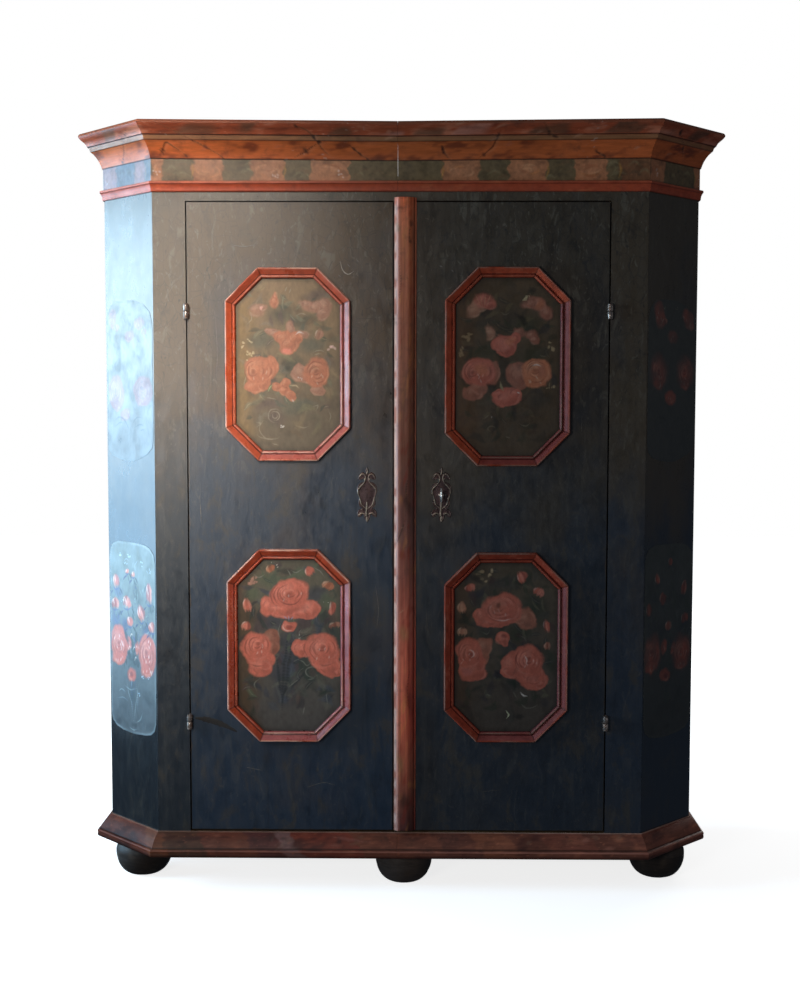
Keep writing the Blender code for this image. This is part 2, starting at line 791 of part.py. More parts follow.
def bolt_box():
    """The bolt's low and high corners when drawn back, its nose level with the lock case."""
    nose = door_edges(1)[1] + CASE_SET_BACK
    low_z = LOCK_Z + BIT_DROP + BIT_TO_BOLT
    front = DOOR_BACK_Y + FIT + CASE_WALL + BOLT_CLEARANCE
    end = LOCK_X + BOLT_BEHIND_KEY
    return (nose, front, low_z), (end, front + BOLT_THICK, low_z + BOLT_HEIGHT)


def build_lock(door, plate, axis):
    """Box lock on the inside of the right door, with a sliding bolt and a key through the door."""
    (nose, bolt_front, bolt_low), (bolt_end, bolt_back, bolt_high) = bolt_box()
    case_front = DOOR_BACK_Y + FIT
    case_back = bolt_back + BOLT_CLEARANCE + CASE_WALL
    low_z = LOCK_Z - BIT_DROP - BIT_TO_BOLT
    inner_low = (nose + CASE_WALL, case_front + CASE_WALL, low_z)
    inner_high = (LOCK_X + CASE_BEHIND_KEY, case_back - CASE_WALL, bolt_high + BOLT_CLEARANCE)
    outer = box_mesh(
        "case",
        (nose, case_front, low_z - CASE_WALL),
        (inner_high[0] + CASE_WALL, case_back, inner_high[2] + CASE_WALL),
    )
    case = place("lock_case", outer, iron(), axis.location, axis)
    slack = BOLT_CLEARANCE
    slot = box_mesh(
        "bolt_slot",
        (nose - 0.01, bolt_front - slack, bolt_low - slack),
        (nose + 2 * CASE_WALL, bolt_back + slack, bolt_high + slack),
    )
    keyhole = helper("keyhole_cutter", keyhole_mesh(FACE_Y - 0.01, case_front + 2 * CASE_WALL))
    boolean(case, helper("case_hollow", box_mesh("hollow", inner_low, inner_high)), "DIFFERENCE")
    boolean(case, helper("bolt_slot_cutter", slot), "DIFFERENCE")
    for cut in (case, door, plate):
        boolean(cut, keyhole, "DIFFERENCE")
    guide = empty("bolt_guide", (nose, (bolt_front + bolt_back) / 2, (bolt_low + bolt_high) / 2), axis)
    bolt = box_mesh("bolt", (nose, bolt_front, bolt_low), (bolt_end, bolt_back, bolt_high))
    place("lock_bolt", bolt, iron(), guide.location, guide)
    build_key(case_back - CASE_WALL, axis)


def build_key(end_y, axis):
    """A key with an oval bow that stands upright, edge-on to the front."""
    key_axis = empty("key_axis", (LOCK_X, FACE_Y, LOCK_Z), axis)
    bow_back = FACE_Y - BOW_STAND_OFF
    bow_middle = bow_back - BOW_DEPTH / 2 + BOW_WIRE / 2
    rings = []
    wire = BOW_WIRE / 2
    for step in range(24):
        turn = 2 * math.pi * step / 24
        outward = Vector((0, math.cos(turn), math.sin(turn)))
        centre = Vector(
            (
                LOCK_X,
                bow_middle + (BOW_DEPTH / 2 - wire) * math.cos(turn),
                LOCK_Z + (BOW_HEIGHT / 2 - wire) * math.sin(turn),
            )
        )
        ring = []
        for corner in range(8):
            angle = math.pi / 8 + math.pi / 4 * corner
            ring.append(centre + wire * (outward * math.cos(angle) + Vector((math.sin(angle), 0, 0))))
        rings.append(ring)
    bow = loft_mesh("bow", rings, closed=True)
    shank_end = end_y - KEY_END_GAP
    shank_ends = [(LOCK_X, y, LOCK_Z) for y in (bow_back - BOW_WIRE / 2, shank_end)]
    shank = rod_mesh("shank", *shank_ends, SHANK_RADIUS, 16)
    bit_end = shank_end - BIT_SET_BACK
    bit = box_mesh(
        "bit",
        (LOCK_X - BIT_THICK / 2, bit_end - BIT_WIDTH, LOCK_Z - BIT_DROP),
        (LOCK_X + BIT_THICK / 2, bit_end, LOCK_Z),
    )
    key = joined_mesh("key", [bow, shank, bit])
    place("key", key, iron(), key_axis.location, key_axis, smooth_above=40)


def build_keeper(axis):
    """The iron staple on the left door's back that takes the bolt."""
    (nose, bolt_front, bolt_low), (bolt_end, bolt_back, bolt_high) = bolt_box()
    right = door_edges(-1)[1] - CASE_SET_BACK
    slack, wall = KEEPER_CLEARANCE, KEEPER_WALL
    front = DOOR_BACK_Y + FIT
    outer = box_mesh(
        "keeper",
        (right - KEEPER_LENGTH, front, bolt_low - slack - wall),
        (right, bolt_back + slack + wall, bolt_high + slack + wall),
    )
    keeper = place("bolt_keeper", outer, iron(), axis.location, axis)
    slot = box_mesh(
        "keeper_slot",
        (right - 2 * KEEPER_LENGTH, bolt_front - slack, bolt_low - slack),
        (right + KEEPER_LENGTH, bolt_back + slack, bolt_high + slack),
    )
    boolean(keeper, helper("keeper_slot_cutter", slot), "DIFFERENCE")


def build_button(door, axis):
    """The turn button behind the left door's head. Turned upright, it stands behind the rail."""
    pivot_x = door_edges(-1)[1] - BUTTON_PIVOT_FROM_MEETING
    pivot_z = DOOR_HEAD - BUTTON_BELOW_TOP
    front = DOOR_BACK_Y + FIT
    half = BUTTON_WIDTH / 2
    outline = []
    for centre_z, first in ((0.0, 0.0), (2 * half - BUTTON_LENGTH, math.pi)):
        for step in range(9):
            angle = first + math.pi * step / 8
            outline.append((half * math.cos(angle), centre_z + half * math.sin(angle)))
    points = [(pivot_x + x, front, pivot_z + z) for x, z in outline]
    bar = prism_mesh("bar", points, (0, BUTTON_THICK, 0))
    pin = rod_mesh(
        "pin",
        (pivot_x, front - BUTTON_PIN_DEPTH, pivot_z),
        (pivot_x, front + BUTTON_THICK + BUTTON_RIVET, pivot_z),
        BUTTON_PIN_RADIUS,
        16,
    )
    pivot = empty("turn_button_axis", (pivot_x, front, pivot_z), axis)
    button = joined_mesh("turn_button", [bar, pin])
    place("turn_button", button, iron(), pivot.location, pivot, smooth_above=40)
    bore = rod_mesh(
        "bore",
        (pivot_x, front - BUTTON_PIN_DEPTH - FIT, pivot_z),
        (pivot_x, front + BUTTON_THICK, pivot_z),
        BUTTON_PIN_RADIUS + BUTTON_PIN_CLEARANCE,
        16,
    )
    boolean(door, helper("turn_button_bore", bore), "DIFFERENCE")


clear_scene()
cupboard = collection("painted_cupboard")
cutters = collection("cutters")

for half_side in (-1, 1):
    build_carcass(half_side)
    build_floor(half_side)
    build_roof(half_side)
    build_mouldings(half_side)
build_back_rail()
build_feet()
build_inside()

left_door, left_axis = build_door(-1)
build_plate(-1, left_axis)
build_keeper(left_axis)
build_button(left_door, left_axis)

right_door, right_axis = build_door(1)
right_plate = build_plate(1, right_axis)
build_strip(right_axis)
build_lock(right_door, right_plate, right_axis)
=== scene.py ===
"""Looks of the painted two-door cupboard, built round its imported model."""

import itertools
import math

import bmesh
import bpy
import numpy as np
from mathutils import Matrix, Vector


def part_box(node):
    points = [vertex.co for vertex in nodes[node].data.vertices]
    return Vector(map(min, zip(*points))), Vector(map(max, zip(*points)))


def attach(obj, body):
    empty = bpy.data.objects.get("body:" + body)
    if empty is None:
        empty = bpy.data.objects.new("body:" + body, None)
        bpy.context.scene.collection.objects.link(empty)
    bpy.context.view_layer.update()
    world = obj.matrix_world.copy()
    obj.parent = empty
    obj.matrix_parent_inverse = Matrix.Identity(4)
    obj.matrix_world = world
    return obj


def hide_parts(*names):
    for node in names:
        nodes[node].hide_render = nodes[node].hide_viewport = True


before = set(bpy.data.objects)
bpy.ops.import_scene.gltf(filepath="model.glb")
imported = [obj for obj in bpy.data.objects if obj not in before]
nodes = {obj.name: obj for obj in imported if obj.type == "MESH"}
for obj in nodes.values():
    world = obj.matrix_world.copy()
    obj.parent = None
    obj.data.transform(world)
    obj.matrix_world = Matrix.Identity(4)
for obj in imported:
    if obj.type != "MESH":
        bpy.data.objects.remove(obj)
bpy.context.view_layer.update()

# The body in plan, in metres
HALF_WIDTH = 0.602
CANT_LEG = 0.150
CANT_WIDTH = CANT_LEG * math.sqrt(2)
BODY_HALF = HALF_WIDTH + CANT_LEG
SEAM_X = -0.005
SEAM_GAP = 0.0006
FIT = 0.0003
FACE_Y = -0.2305
BACK_Y = 0.2895
HALF_TURN = math.radians(22.5)
SIDES = {-1: "left", 1: "right"}

# Heights
FOOT_HEIGHT = 0.080
BASE_TOP = 0.138
LEDGE_TOP = 0.1157
ASTRAGAL_FOOT = 1.7165
CARCASS_TOP = 1.742
FRIEZE_TOP = 1.796
TOTAL_HEIGHT = 1.880
CROWN_DIP = 0.006

# How far the mouldings stand proud
CROWN_PROUD = 0.059
FRIEZE_PROUD = 0.002
FRIEZE_INNER = -0.014
ASTRAGAL_PROUD = 0.0108
BASE_PROUD = 0.036
BASE_LEDGE = 0.100

# Panels: middle across, foot and head of the moulding
PANELS = {
    "upper_left": (-0.273, 1.0645, 1.5345),
    "upper_right": (0.263, 1.0525, 1.5365),
    "lower_left": (-0.273, 0.3675, 0.8475),
    "lower_right": (0.263, 0.3685, 0.8405),
}
PANEL_HALF = 0.153
PANEL_CORNER = 0.080
MOULD_WIDTH = 0.026
MOULD_PROUD = 0.016

# Lock side
LOCK_X = 0.1025
LOCK_Z = 0.9825
LEFT_PLATE_X = -0.080
SHEET = 0.0006
STROKE_LIFT = 0.00006

# Steps between painted points, in millimetres
PAINT_STEP = 1.3
PLATE_STEP = 0.6


def light_of(red, green, blue):
    """A screen colour, 0 to 255, as linear light."""
    share = np.array([red, green, blue], float) / 255
    return np.where(share <= 0.04045, share / 12.92, ((share + 0.055) / 1.055) ** 2.4)


def noise(points, size, seed):
    """Smooth noise from -1 to 1 over points, with features of about this size."""
    points = np.asarray(points, float)
    dims = points.shape[1]
    lattice = np.random.default_rng(seed).uniform(-1, 1, (32,) * dims)
    spot = points / size
    cell = np.floor(spot).astype(int)
    part = spot - cell
    part = part * part * (3 - 2 * part)
    total = np.zeros(len(points))
    for corner in itertools.product((0, 1), repeat=dims):
        weight = np.ones(len(points))
        for axis, step in enumerate(corner):
            weight = weight * (part[:, axis] if step else 1 - part[:, axis])
        total += weight * lattice[tuple((cell[:, axis] + step) % 32 for axis, step in enumerate(corner))]
    return total


def ease(low, high, value):
    """0 below low, 1 above high, smooth between."""
    share = np.clip((value - low) / (high - low), 0, 1)
    return share * share * (3 - 2 * share)


def bell(value, centre, width):
    """1 where the value is at the centre, and falling off on both sides."""
    return np.exp(-(((value - centre) / width) ** 2))


def clouds(points, seed, *layers):
    """Noise in layers, each given by the size of its features and its weight."""
    return sum(noise(points, size, seed + number) * weight for number, (size, weight) in enumerate(layers))


def pick(rng, *colours):
    """One of some screen colours at random, as linear light."""
    return light_of(*colours[rng.integers(len(colours))])


def blend(first, second, share):
    """Mixes two colours, or arrays of them, by a share for each point."""
    return first + (second - first) * np.asarray(share)[..., None]


def nearest(spots, line):
    """For each spot, how far the nearest point of a line is, and which it is."""
    near, index = np.full(len(spots), 1e9), np.zeros(len(spots), int)
    for number, point in enumerate(line):
        gap = np.hypot(*(spots - point).T)
        closer = gap < near
        near[closer] = gap[closer]
        index[closer] = number
    return near, index


def tiles(grid):
    """The four-sided faces of a grid of point numbers."""
    return np.stack([grid[:-1, :-1], grid[:-1, 1:], grid[1:, 1:], grid[1:, :-1]], -1).reshape(-1, 4)


class Canvas:
    """Colours being painted on points of a surface, placed by across and up in millimetres."""

    def __init__(self, across, up, ground, seed, warp=0.0):
        self.across, self.up = across, up
        self.rgb = np.broadcast_to(ground, (len(across), 3)).copy()
        self.lift = np.zeros(len(across))
        spots = np.stack([across, up], 1)
        self.wave_a, self.wave_u = (
            noise(spots, 26, seed + 8 + way) * warp
            + noise(spots, 12, seed + 2 * way) * 2.2
            + noise(spots, 5, seed + 1 + 2 * way)
            for way in (0, 1)
        )
        self.grain = noise(spots, 3.2, seed + 4) * 0.6 + noise(spots, 1.7, seed + 5) * 0.5
        self.seed = seed

    def lay(self, where, cover, colour, lift):
        """Paints the points where the mask is true."""
        cover = np.clip(cover, 0, 1)[:, None]
        self.rgb[where] += (colour - self.rgb[where]) * cover
        self.lift[where] += cover[:, 0] * lift

    def wash(self, colour, share):
        """Mixes a colour into all the points by a share for each."""
        self.rgb = blend(self.rgb, colour, share)

    def dabs(self, rows, turn, soft, strength):
        """Spots given as rows of (across, up, half wide, half tall, colour)."""
        for across, up, wide, tall, colour in rows:
            self.spot(across, up, wide, tall, colour, turn, soft, strength)

    def spot(self, across, up, wide, tall, colour, turn, soft, strength):
        """A round dab."""
        reach = 1.5 * max(wide, tall)
        where = (np.abs(self.across - across) < reach) & (np.abs(self.up - up) < reach)
        if not where.any():
            return
        right = self.across[where] - across + self.wave_a[where]
        above = self.up[where] - up + self.wave_u[where]
        cos, sin = math.cos(turn), math.sin(turn)
        x = (right * cos + above * sin) / wide
        z = (above * cos - right * sin) / tall
        cover = 1 - ease(1 - soft, 1 + soft * 0.4, np.hypot(x, z))
        tone = 1 + 0.10 * self.grain[where]
        self.lay(where, cover * strength, colour * tone[:, None], 0.5)

    def stroke(self, path, wide, colour, strength, taper=(0.3, 0.2), hair=0.16, soft=0.9):
        """A brush stroke along a smooth path of (across, up) points. taper gives its end widths as shares."""
        line = smooth_path(path)
        low, high = line.min(0) - wide * 1.5 - 3, line.max(0) + wide * 1.5 + 3
        where = (
            (self.across > low[0]) & (self.across < high[0]) & (self.up > low[1]) & (self.up < high[1])
        )
        if not where.any():
            return
        spots = np.stack([self.across[where], self.up[where]], 1)
        spots += 0.35 * np.stack([self.wave_a[where], self.wave_u[where]], 1)
        near, index = nearest(spots, line)
        along = np.linspace(0, 1, len(line))
        body = taper[0] + (1 - taper[0]) * ease(0, 0.35, along)
        body = np.minimum(body, taper[1] + (1 - taper[1]) * (1 - ease(0.6, 1, along)))
        width = wide / 2 * body[index]
        heading = np.gradient(line, axis=0)[index]
        off = spots - line[index]
        side = np.sign(heading[:, 0] * off[:, 1] - heading[:, 1] * off[:, 0]) * near
        streak = noise(np.stack([side / 0.9, np.full(len(side), self.seed + wide)], 1), 1.0, self.seed + 6)
        cover = ease(-soft, soft, width - near) * strength
        cover = cover * (1 - 0.35 * ease(0.3, 0.9, streak))
        tone = 1 + hair * streak + 0.06 * self.grain[where]
        self.lay(where, cover, colour * tone[:, None], 0.8)


def smooth_path(path):
    """Points along a smooth line through a few."""
    knots = np.array(path, float)
    if len(knots) == 2:
        return knots[0] + (knots[1] - knots[0]) * np.linspace(0, 1, 14)[:, None]
    ends = np.vstack([2 * knots[0] - knots[1], knots, 2 * knots[-1] - knots[-2]])
    line = []
    for a, b, c, d in zip(ends, ends[1:], ends[2:], ends[3:]):
        for t in np.linspace(0, 1, 9)[:-1]:
            square, cube = 2 * a - 5 * b + 4 * c - d, 3 * b - a - 3 * c + d
            line.append(0.5 * (2 * b + (c - a) * t + square * t**2 + cube * t**3))
    return np.array(line + [knots[-1]])


# Node materials


class Shader:
    """A node material with short ways to add nodes."""

    def __init__(self, name, roughness=0.45, metallic=0.0, specular=0.5):
        self.material = bpy.data.materials.new(name)
        self.material.use_nodes = True
        self.tree = self.material.node_tree
        self.surface = self.tree.nodes["Principled BSDF"]
        self.surface.inputs["Roughness"].default_value = roughness
        self.surface.inputs["Metallic"].default_value = metallic
        self.surface.inputs["Specular IOR Level"].default_value = specular
        self.place = self.node("ShaderNodeTexCoord").outputs["Object"]
        self.bumps = None

    def node(self, kind, values=(), **settings):
        made = self.tree.nodes.new(kind)
        for key, value in settings.items():
            setattr(made, key, value)
        for key, value in dict(values).items():
            self.feed(made.inputs[key], value)
        return made

    def feed(self, socket, value):
        if isinstance(value, bpy.types.NodeSocket):
            self.tree.links.new(value, socket)
        else:
            socket.default_value = value

    def noise(self, scale, detail, rough, bend=0.0):
        """Noise over the object, stretched by a scale for each axis."""
        mapped = self.node("ShaderNodeMapping", {"Vector": self.place, "Scale": scale})
        made = self.node(
            "ShaderNodeTexNoise",
            {
                "Vector": mapped.outputs[0], "Scale": 1.0, "Detail": detail, "Roughness": rough,
                "Distortion": bend,
            },
        )
        return made.outputs["Fac"]

    def bent(self, scale, amount):
        """The place, pushed about by noise."""
        mapped = self.node("ShaderNodeMapping", {"Vector": self.place, "Scale": scale})
        push = self.node(
            "ShaderNodeTexNoise", {"Vector": mapped.outputs[0], "Scale": 1.0, "Detail": 2.0},
        ).outputs["Color"]
        small = self.node("ShaderNodeVectorMath", {0: push}, operation="SCALE")
        small.inputs["Scale"].default_value = amount
        return self.node(
            "ShaderNodeVectorMath", {0: self.place, 1: small.outputs[0]}, operation="ADD",
        ).outputs[0]

    def cells(self, scale, feature="DISTANCE_TO_EDGE", place=None):
        mapped = self.node("ShaderNodeMapping", {"Vector": place or self.place, "Scale": scale})
        made = self.node("ShaderNodeTexVoronoi", {"Vector": mapped.outputs[0], "Scale": 1.0}, feature=feature)
        return made.outputs["Distance"]

    def span(self, value, low, high, first=0.0, last=1.0):
        """Value mapped from low and high to first and last, and held beyond."""
        made = self.node(
            "ShaderNodeMapRange",
            {"Value": value, "From Min": low, "From Max": high, "To Min": first, "To Max": last},
            interpolation_type="SMOOTHSTEP",
        )
        return made.outputs[0]

    def math(self, operation, first, second=0.5):
        made = self.node("ShaderNodeMath", operation=operation)
        self.feed(made.inputs[0], first)
        self.feed(made.inputs[1], second)
        return made.outputs[0]

    def mix(self, share, first, second, mode="MIX"):
        made = self.node("ShaderNodeMix", data_type="RGBA", blend_type=mode)
        self.feed(made.inputs["Factor"], share)
        for socket, value in ((made.inputs[6], first), (made.inputs[7], second)):
            self.feed(socket, value if isinstance(value, bpy.types.NodeSocket) else (*value, 1.0))
        return made.outputs[2]

    def over(self, under, tint, value, low, high, strength, times=None):
        """A tint over a colour, from none where the value is low to this strength where it is high."""
        share = self.span(value, low, high, 0.0, strength)
        if times is not None:
            share = self.math("MULTIPLY", share, times)
        return self.mix(share, under, tint)

    def gap(self, value, edge):
        """How far the value is from an edge."""
        return self.math("ABSOLUTE", self.math("SUBTRACT", value, edge))

    def axis(self, name):
        return self.node("ShaderNodeSeparateXYZ", {"Vector": self.place}).outputs[name]

    def paint(self):
        """The colours painted on the points."""
        return self.node("ShaderNodeAttribute", attribute_name="paint").outputs["Color"]

    def colour(self, value):
        self.feed(self.surface.inputs["Base Color"], value)

    def rough(self, value):
        self.feed(self.surface.inputs["Roughness"], value)

    def bump(self, height, distance, strength):
        values = {"Height": height, "Distance": distance, "Strength": strength}
        if self.bumps:
            values["Normal"] = self.bumps
        self.bumps = self.node("ShaderNodeBump", values).outputs[0]
        self.feed(self.surface.inputs["Normal"], self.bumps)


def grained(along, fine, coarse):
    """Noise scales for the three axes, coarse along one of them."""
    return tuple(coarse if axis == along else fine for axis in "XYZ")


def painted_material(name, grain, roughness, streak, wear, specular=0.5):
    """Hand-painted colour kept on the points, with brush marks along the grain, dirt and fine cracks."""
    shader = Shader(name, specular=specular)
    brush = shader.noise(grain, 5.0, 0.6)
    dirt = shader.noise((26, 26, 26), 5.0, 0.65)
    fine = shader.noise((420, 420, 420), 2.0, 0.6)
    tone = shader.span(brush, 0.25, 0.75, 1 - streak, 1 + streak)
    colour = shader.mix(
        1.0, shader.paint(),
        shader.node("ShaderNodeCombineColor", {"Red": tone, "Green": tone, "Blue": tone}).outputs[0],
        "MULTIPLY",
    )
    colour = shader.over(colour, (0.035, 0.022, 0.016), dirt, 0.52, 0.75, wear)
    shader.colour(colour)
    shader.rough(shader.span(dirt, 0.3, 0.7, roughness - 0.07, roughness + 0.10))
    shader.bump(shader.noise(grain, 1.0, 0.4), 0.00020, 0.6)
    shader.bump(fine, 0.00003, 0.6)
    return shader.material


def body_material(
    name, edges=None, back=None, grain=(55, 55, 2.2), low=(0.021, 0.033, 0.054),
    high=(0.078, 0.056, 0.034), rough=(0.31, 0.42), calm=1.0, inside=None, foot_gloss=1.0, rise=(0.35, 1.7),
):
    """Old dark blue paint, browner towards the top, with brush streaks, worn patches and worn edges.
    edges are the lowest and highest x, then z, of a face whose rim is worn and, right at the edge, darkened
    with a painted shadow of the gap round it. back is the y behind which the wood is bare. grain is the noise
    scale of the streaks. low and high are the colours at the heights in rise. rough is the least and greatest
    roughness. calm below 1 weakens the marks. inside is (x share, y share, limit): the wood is bare within
    that plane. foot_gloss below 1 makes the foot smoother."""
    shader = Shader(name, specular=0.8)
    height = shader.axis("Z")
    cloudy = shader.noise((5.5, 5.5, 3.2), 5.0, 0.62)
    streaks = shader.noise(grain, 6.0, 0.62, 0.25)
    patches = shader.noise((17, 17, 9), 6.0, 0.7, 0.4)
    fine = shader.noise((330, 330, 160), 3.0, 0.65)
    cracks = shader.cells((150, 150, 60))
    dabs = shader.noise((34, 34, 11), 3.0, 0.6, 1.2)
    dashes = shader.noise((60, 60, 26), 2.0, 0.5, 2.0)
    crazing = shader.cells((46, 46, 30), place=shader.bent((9, 9, 9), 0.03))
    lift = shader.math(
        "ADD", shader.span(height, *rise, 0.0, 1.0), shader.span(cloudy, 0.3, 0.7, -0.32, 0.32),
    )
    colour = shader.mix(shader.span(lift, 0.0, 1.0), low, high)
    lighter = shader.mix(0.5, colour, (0.112, 0.108, 0.092))
    colour = shader.over(colour, lighter, streaks, 0.50, 0.80, 0.40 * calm)
    darker = shader.mix(0.65, colour, (0.010, 0.012, 0.016))
    colour = shader.over(colour, darker, streaks, 0.46, 0.24, 0.60 * calm)
    colour = shader.over(colour, (0.062, 0.048, 0.030), patches, 0.52, 0.66, 0.55 * calm)
    colour = shader.over(colour, darker, patches, 0.46, 0.32, 0.65 * calm)
    upper = shader.span(height, 0.9, 1.5, 0.25 * calm, calm)
    pale = shader.mix(0.6, colour, (0.17, 0.155, 0.12))
    colour = shader.over(colour, pale, dabs, 0.56, 0.68, 0.65, upper)
    colour = shader.over(colour, pale, dashes, 0.62, 0.70, 0.75, upper)
    colour = shader.over(colour, darker, dashes, 0.38, 0.30, 0.80, upper)
    colour = shader.over(colour, darker, crazing, 0.05, 0.0, 0.50, upper)
    colour = shader.over(colour, (0.11, 0.10, 0.085), fine, 0.62, 0.74, 0.5 * calm)
    if edges:
        x = shader.axis("X")
        rim = shader.gap(x, edges[0])
        for value, edge in ((x, edges[1]), (height, edges[2]), (height, edges[3])):
            rim = shader.math("MINIMUM", rim, shader.gap(value, edge))
        # Browner worn paint along the rim, then very dark right at the edge: painted shadow of the gap round
        # the door.
        rough_rim = shader.math("ADD", rim, shader.span(patches, 0.3, 0.7, -0.0022, 0.0045))
        colour = shader.over(colour, (0.085, 0.055, 0.034), rough_rim, 0.0030, 0.0004, 0.70)
        colour = shader.over(colour, (0.006, 0.005, 0.004), rim, 0.0019, 0.0008, 0.9)
    if back is not None:
        wood = wood_colour(shader, "X", "Z")
        if edges:
            wide = edges[1] - edges[0]
            for share in (0.36, 0.69):
                joint = shader.gap(shader.axis("X"), edges[0] + share * wide)
                wood = shader.over(wood, (0.020, 0.013, 0.009), joint, 0.0014, 0.0005, 0.9)
        depth = shader.math("ADD", shader.axis("Y"), shader.span(cloudy, 0.3, 0.7, -0.0015, 0.0015))
        colour = shader.mix(shader.span(depth, back - 0.0006, back + 0.0006), colour, wood)
    if inside is not None:
        x_share, y_share, limit = inside
        reach = shader.math("MULTIPLY", shader.math("ABSOLUTE", shader.axis("X")), x_share)
        reach = shader.math("SUBTRACT", reach, shader.math("MULTIPLY", shader.axis("Y"), y_share))
        wood = wood_colour(shader, "Y", "Z")
        colour = shader.mix(shader.span(reach, limit + 0.0005, limit - 0.0005), colour, wood)
    shader.colour(colour)
    smear = shader.noise((40, 40, 22), 3.0, 0.6, 0.8)
    spread = shader.math(
        "ADD", shader.span(patches, 0.3, 0.72, *rough),
        shader.span(smear, 0.35, 0.65, -0.04 * calm, 0.06 * calm),
    )
    if foot_gloss < 1:
        spread = shader.math("MULTIPLY", spread, shader.span(height, 0.30, 0.52, foot_gloss, 1.0))
    shader.rough(spread)
    shader.bump(shader.noise(grain, 1.5, 0.4), 0.00022, 0.6 * calm)
    shader.bump(cloudy, 0.004, 0.5 * calm)
    shader.bump(dabs, 0.0004, 0.6 * calm)
    shader.bump(shader.span(cracks, 0.0, 0.04), 0.00003, 0.5 * calm**2)
    shader.bump(shader.noise((240, 240, 120), 1.0, 0.5), 0.00003, 0.6 * calm)
    return shader.material


def wood_colour(shader, across, along, tone=None):
    """Aged softwood: growth lines that wander along the grain, with knots and stains.
    across and along are the axes of the board's face. tone shifts the lines from board to board."""
    wander = shader.noise(grained(along, 9.0, 1.3), 3.0, 0.5)
    place = shader.math("ADD", shader.axis(across), shader.span(wander, 0.2, 0.8, -0.060, 0.060))
    if tone is not None:
        place = shader.math("ADD", place, tone)
    ring = shader.math("SINE", shader.math("MULTIPLY", place, 820.0))
    wide_ring = shader.math("SINE", shader.math("MULTIPLY", place, 291.0))
    fibres = shader.noise(grained(along, 420.0, 6.0), 3.0, 0.6)
    stains = shader.noise((7, 7, 7), 4.0, 0.6)
    colour = shader.mix(shader.span(wide_ring, -1.0, 1.0), (0.235, 0.150, 0.086), (0.300, 0.200, 0.118))
    colour = shader.over(colour, (0.125, 0.068, 0.034), ring, 0.1, 1.0, 0.75)
    colour = shader.over(colour, (0.105, 0.064, 0.038), fibres, 0.52, 0.72, 0.5)
    knots = shader.cells(grained(along, 4.6, 1.6), "F1", shader.bent((3, 3, 3), 0.12))
    colour = shader.over(colour, (0.050, 0.024, 0.012), knots, 0.085, 0.050, 0.85)
    return shader.over(colour, (0.085, 0.056, 0.036), stains, 0.50, 0.74, 0.55)


def wood_material(name, across, along, painted=True):
    """Bare boards. painted is for pieces that carry a tone for each board."""
    shader = Shader(name, roughness=0.72, specular=0.3)
    if painted:
        tone = shader.paint()
        colour = wood_colour(shader, across, along, shader.math("MULTIPLY", tone, 0.37))
        shader.colour(shader.mix(1.0, colour, tone, "MULTIPLY"))
    else:
        shader.colour(wood_colour(shader, across, along))
    shader.bump(shader.noise(grained(along, 260.0, 5.0), 4.0, 0.6), 0.0005, 0.5)
    return shader.material


def iron_material(name, base=(0.060, 0.046, 0.042), rust=(0.115, 0.048, 0.026), roughness=0.42):
    shader = Shader(name, metallic=0.75, specular=0.5)
    lumps = shader.noise((90, 90, 90), 4.0, 0.6)
    pits = shader.noise((420, 420, 420), 3.0, 0.65)
    colour = shader.mix(shader.span(lumps, 0.42, 0.66), base, rust)
    colour = shader.over(colour, (0.016, 0.013, 0.012), pits, 0.58, 0.70, 0.6)
    shader.colour(colour)
    shader.rough(shader.span(lumps, 0.3, 0.7, roughness - 0.08, roughness + 0.16))
    shader.bump(lumps, 0.0009, 0.5)
    shader.bump(pits, 0.00025, 0.6)
    return shader.material


# Meshes


def add(name, points, faces, body, material, replaces=(), rgb=None, sharp=34):
    """A piece from points and faces, painted, riding on a body and standing for CAD nodes."""
    mesh = bpy.data.meshes.new(name)
    mesh.from_pydata(np.asarray(points, float).tolist(), [], faces)
    bm = bmesh.new()
    bm.from_mesh(mesh)
    bmesh.ops.recalc_face_normals(bm, faces=bm.faces)
    bm.to_mesh(mesh)
    bm.free()
    if rgb is not None:
        layer = mesh.color_attributes.new("paint", "FLOAT_COLOR", "POINT")
        filled = np.ones((len(mesh.vertices), 4), np.float32)
        filled[:, :3] = rgb
        layer.data.foreach_set("color", filled.ravel())
    mesh.materials.append(material)
    mesh.shade_smooth()
    mesh.set_sharp_from_angle(angle=math.radians(sharp))
    piece = bpy.data.objects.new(name, mesh)
    bpy.context.scene.collection.objects.link(piece)
    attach(piece, body)
    if replaces:
        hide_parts(*replaces)
    return piece


def skin(rows, count, loop_rows=False, loop_columns=True, caps=True):
    """Faces over rows of points, each row with the same count."""
    grid = np.arange(rows * count).reshape(rows, count)
    if loop_columns:
        grid = np.hstack([grid, grid[:, :1]])
    if loop_rows:
        grid = np.vstack([grid, grid[:1]])
    faces = tiles(grid).tolist()
    if caps and not loop_rows:
        faces.append(list(range(count)))
        faces.append(list(range((rows - 1) * count, rows * count)))
    return faces


def bowed(start, end, swell, steps):
    """Points from start to end, without start, bowed to the left of the way by the swell."""
    start, end = np.array(start, float), np.array(end, float)
    across = np.array([start[1] - end[1], end[0] - start[0]])
    across /= np.hypot(*across)
    return [
        tuple(start + (end - start) * t + across * swell * 4 * t * (1 - t))
        for t in np.arange(1, steps + 1) / steps
    ]


def refined(profile, step, first, last):
    """Adds points to a profile, from its point first to last, so that none is further apart than step."""
    points = []
    for number, point in enumerate(profile):
        points.append(tuple(point))
        if first <= number < last:
            start, end = np.array(point, float), np.array(profile[number + 1], float)
            count = max(1, math.ceil(np.hypot(*(end - start)) / step))
            points += [tuple(start + (end - start) * k / count) for k in range(1, count)]
    return points


